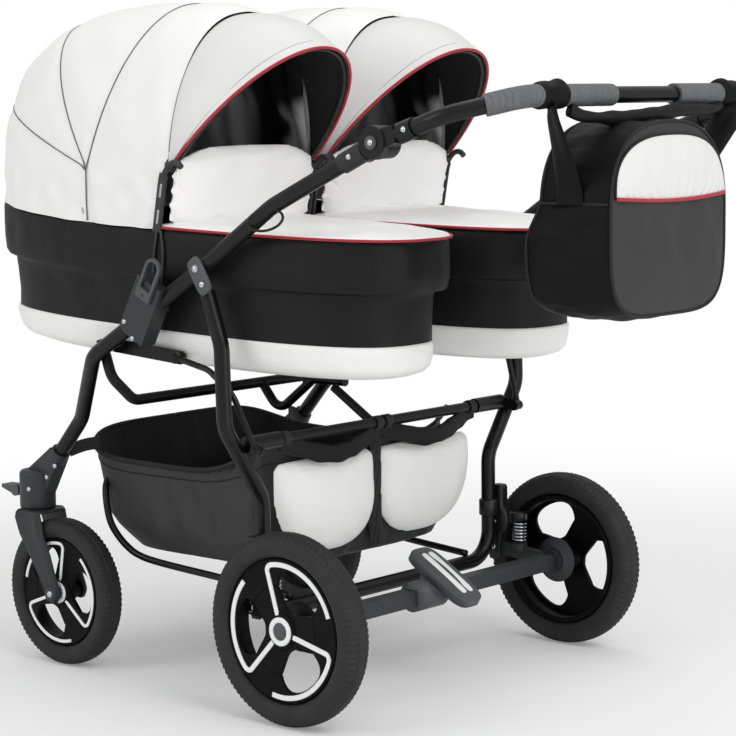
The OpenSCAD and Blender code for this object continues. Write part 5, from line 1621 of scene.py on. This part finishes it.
# a blade's outer face: edges by an eighth power, ridges by bell curves, the groove by a square
def addBlade(name, centre, turn):
    f = forkSet
    rows = rowsBetween(f["rows"], f["steps"])
    w = np.linspace(-1, 1, 41)
    edge = np.sqrt(np.maximum(0, 1 - np.abs(w) ** 8))
    ridge = f["ridge"] * np.exp(-((np.abs(w) - 0.76) / 0.12) ** 2)
    ridge = ridge - f["groove"] * np.maximum(0, 1 - (w / 0.62) ** 2)
    out = f["inner"] + f["thick"] * edge + ridge * edge
    around = np.concatenate([np.stack([w, out], -1), np.stack([w[::-1], np.full_like(w, f["inner"])], -1)])
    x = centre[0] + rows[:, 1:2] + rows[:, 2:3] * around[None, :, 0]
    y = centre[1] + turn * around[None, :, 1]
    z = centre[2] + rows[:, :1]
    return cappedMesh(name, np.stack(np.broadcast_arrays(x, y, z), -1), turn < 0)


# a body turned about an upright line from (radius, height) pairs, lowest first
def turnedUp(name, pairs, x, y, count=48):
    pairs = np.asarray(pairs, float)
    a = np.linspace(0, 2 * np.pi, count, endpoint=False)[None, :]
    r, z = pairs[:, :1], pairs[:, 1:]
    grid = np.stack(np.broadcast_arrays(x + r * np.cos(a), y + r * np.sin(a), z), -1)
    return cappedMesh(name, grid, False)


# rivets at places x, y and z, with y counted outwards on the given side
def addRivets(name, spots, radius, high, body, side):
    grids = [sidePlace(rivetHead(radius, high), (x, z), 0.0, y, side) for x, y, z in spots]
    rivetPiece(name, name, grids, body, side)


for sideName, side in sides:
    fork = sideName + "_fork"
    castor = sideName + "_castor"
    lo, hi = (np.array(v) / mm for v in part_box(sideName + "_front_tyre"))
    centre = (lo + hi) / 2
    reach, halfX, halfY, low, high = forkSet["crown"]
    crown = ovalPad(halfX, halfY, low, high, 2.5, (0.0, 0.0), 4.0) + centre + np.array([reach, 0, 0])
    pieces = [cappedMesh(fork + "_crown", crown)]
    for k, turn in enumerate((1.0, -1.0)):
        pieces.append(addBlade(fork + "_blade" + str(k), centre, turn))
        pieces.append(turned(fork + "_boss" + str(k), forkSet["boss"], centre, turn, 40))
    dress(joined(fork + "_look", pieces), "darkPlastic", castor, (fork,))
    wheelY = side * centre[1]
    addRivets(fork + "_bolt", [(centre[0], wheelY + forkSet["hub"], centre[2])], 6.0, 3.0, castor, side)
    swivelX = centre[0] + forkSet["swivel"]
    sleeve = turnedUp(sideName + "_swivel_sleeve", forkSet["sleeve"], swivelX, centre[1])
    dress(sleeve, "darkPlastic", "chassis")
    spots = [(swivelX - 58, wheelY + 11, 345), (swivelX - 36, wheelY + 11, 323),
             (swivelX - 10, wheelY + 29, 302)]
    addRivets(sideName + "_housing_rivets", spots, 4.6, 2.4, "chassis", side)

# knobs: a stepped ring on the outer half, a bright middle on the button, and a rivet on each socket
knobSet = {"place": (-360.0, 372.0, 902.0), "rivetY": 388.6, "rivets": ((-419.0, 921.0), (-314.5, 881.0)),
           "ring": [(10.7, 13.0), (10.7, 17.2), (14, 17.4), (15, 15.8), (17, 15.8), (18, 17.0), (22.5, 17.0),
                    (25, 14.5), (25, 4.0)],
           "middle": [(0.01, 23.4), (3.2, 23.0), (4.8, 21.8), (4.8, 20.4)]}
for sideName, side in sides:
    centre = mirrored(knobSet["place"], side)
    ring = turned(sideName + "_knob_ring", knobSet["ring"], centre, side, 56)
    dress(ring, "darkPlastic", "handle")
    middle = turned(sideName + "_knob_middle", knobSet["middle"], centre, side, 24)
    dress(middle, "silver", sideName + "_button")
    for (x, z), body in zip(knobSet["rivets"], ("handle", "chassis")):
        addRivets(sideName + "_socket_rivet_" + body, [(x, knobSet["rivetY"], z)], 4.4, 2.4, body, side)
print("forks and knobs built")


# springs: a round wire wound up between the axle's cups and the housings
springSet = {"x": -85.0, "y": 318.0, "low": 178.3, "high": 213.7, "radius": 11.0, "wire": 1.9, "turns": 6,
             "perTurn": 24}

# housings: a rounded block beside each leg that narrows to the pivot and up to a post, with a cap on the
# spring and a collar round the leg; rows give the height, the middle and half width along the pram and the
# same across it
housingSet = {"rows": [(143, -37, 9, 307.6, 3.0), (153, -37, 12, 307.6, 3.7), (188, -39, 14, 307.6, 3.7),
                       (199, -46, 19, 310, 7), (213, -48, 21, 312, 11), (230, -47, 19, 312, 11),
                       (240, -44, 13, 313, 11), (274, -44, 12, 314, 11), (278, -44, 10, 314, 9)],
              "neck": [(217, -68, 19, 316, 8), (219, -68, 21, 316, 10), (228, -68, 21, 316, 10),
                       (230, -68, 19, 316, 8)],
              "steps": (2, 4, 3, 3, 3, 3, 4, 2), "neckSteps": (1, 2, 1), "leg": (-37.0, 290.0),
              "cap": [(11.5, 216.4), (13.6, 217.2), (13.6, 228.5), (11.5, 231.0), (5.0, 231.6)],
              "collar": [(14.5, 225.0), (16.5, 226.5), (16.5, 252.5), (14.5, 254.0)]}


# rings of a squared oval from rows of places and half widths
def blockMesh(name, rows, steps, side):
    rows = rowsBetween(rows, steps)
    a = np.linspace(0, 2 * np.pi, 48, endpoint=False)[None, :]
    x = rows[:, 1:2] + rows[:, 2:3] * spow(np.cos(a), 0.5)
    y = side * (rows[:, 3:4] + rows[:, 4:5] * spow(np.sin(a), 0.5))
    return cappedMesh(name, np.stack(np.broadcast_arrays(x, y, rows[:, :1]), -1), side < 0)


blocks = []
for sideName, side in sides:
    h, (legX, legY) = housingSet, housingSet["leg"]
    blocks.append(blockMesh(sideName + "_housing", h["rows"], h["steps"], side))
    blocks.append(blockMesh(sideName + "_neck", h["neck"], h["neckSteps"], side))
    blocks.append(turnedUp(sideName + "_cap", h["cap"], springSet["x"], side * springSet["y"]))
    blocks.append(turnedUp(sideName + "_collar", h["collar"], legX, side * legY))
    addRivets(sideName + "_pivot_bolt", [(legX, 323.4, 165)], 9.0, 3.6, "rear_frame", side)
    spots = [(legX, -304.2, 165), (legX - 4, -301.6, 212)]
    addRivets(sideName + "_pivot_rivet", spots, 4.4, 2.2, "rear_frame", -side)
housings = joined("suspension_housings_look", blocks)
dress(housings, "blackPlastic", "rear_frame", ("suspension_housings",))

share = np.linspace(0, 1, springSet["perTurn"] * springSet["turns"] + 1)
angle = 2 * np.pi * springSet["turns"] * share
coils = []
for sideName, side in sides:
    x = springSet["x"] + springSet["radius"] * np.cos(angle)
    y = side * (springSet["y"] + springSet["radius"] * np.sin(angle))
    z = springSet["low"] + (springSet["high"] - springSet["low"]) * share
    coils.append(tubeAlong(sideName + "_coil", np.stack([x, y, z], -1), springSet["wire"], 10))
springs = joined("springs_look", coils)
dress(springs, "silver", "rear_frame", ("suspension_springs",))
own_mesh(springs)
print("springs built")


lo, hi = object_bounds()
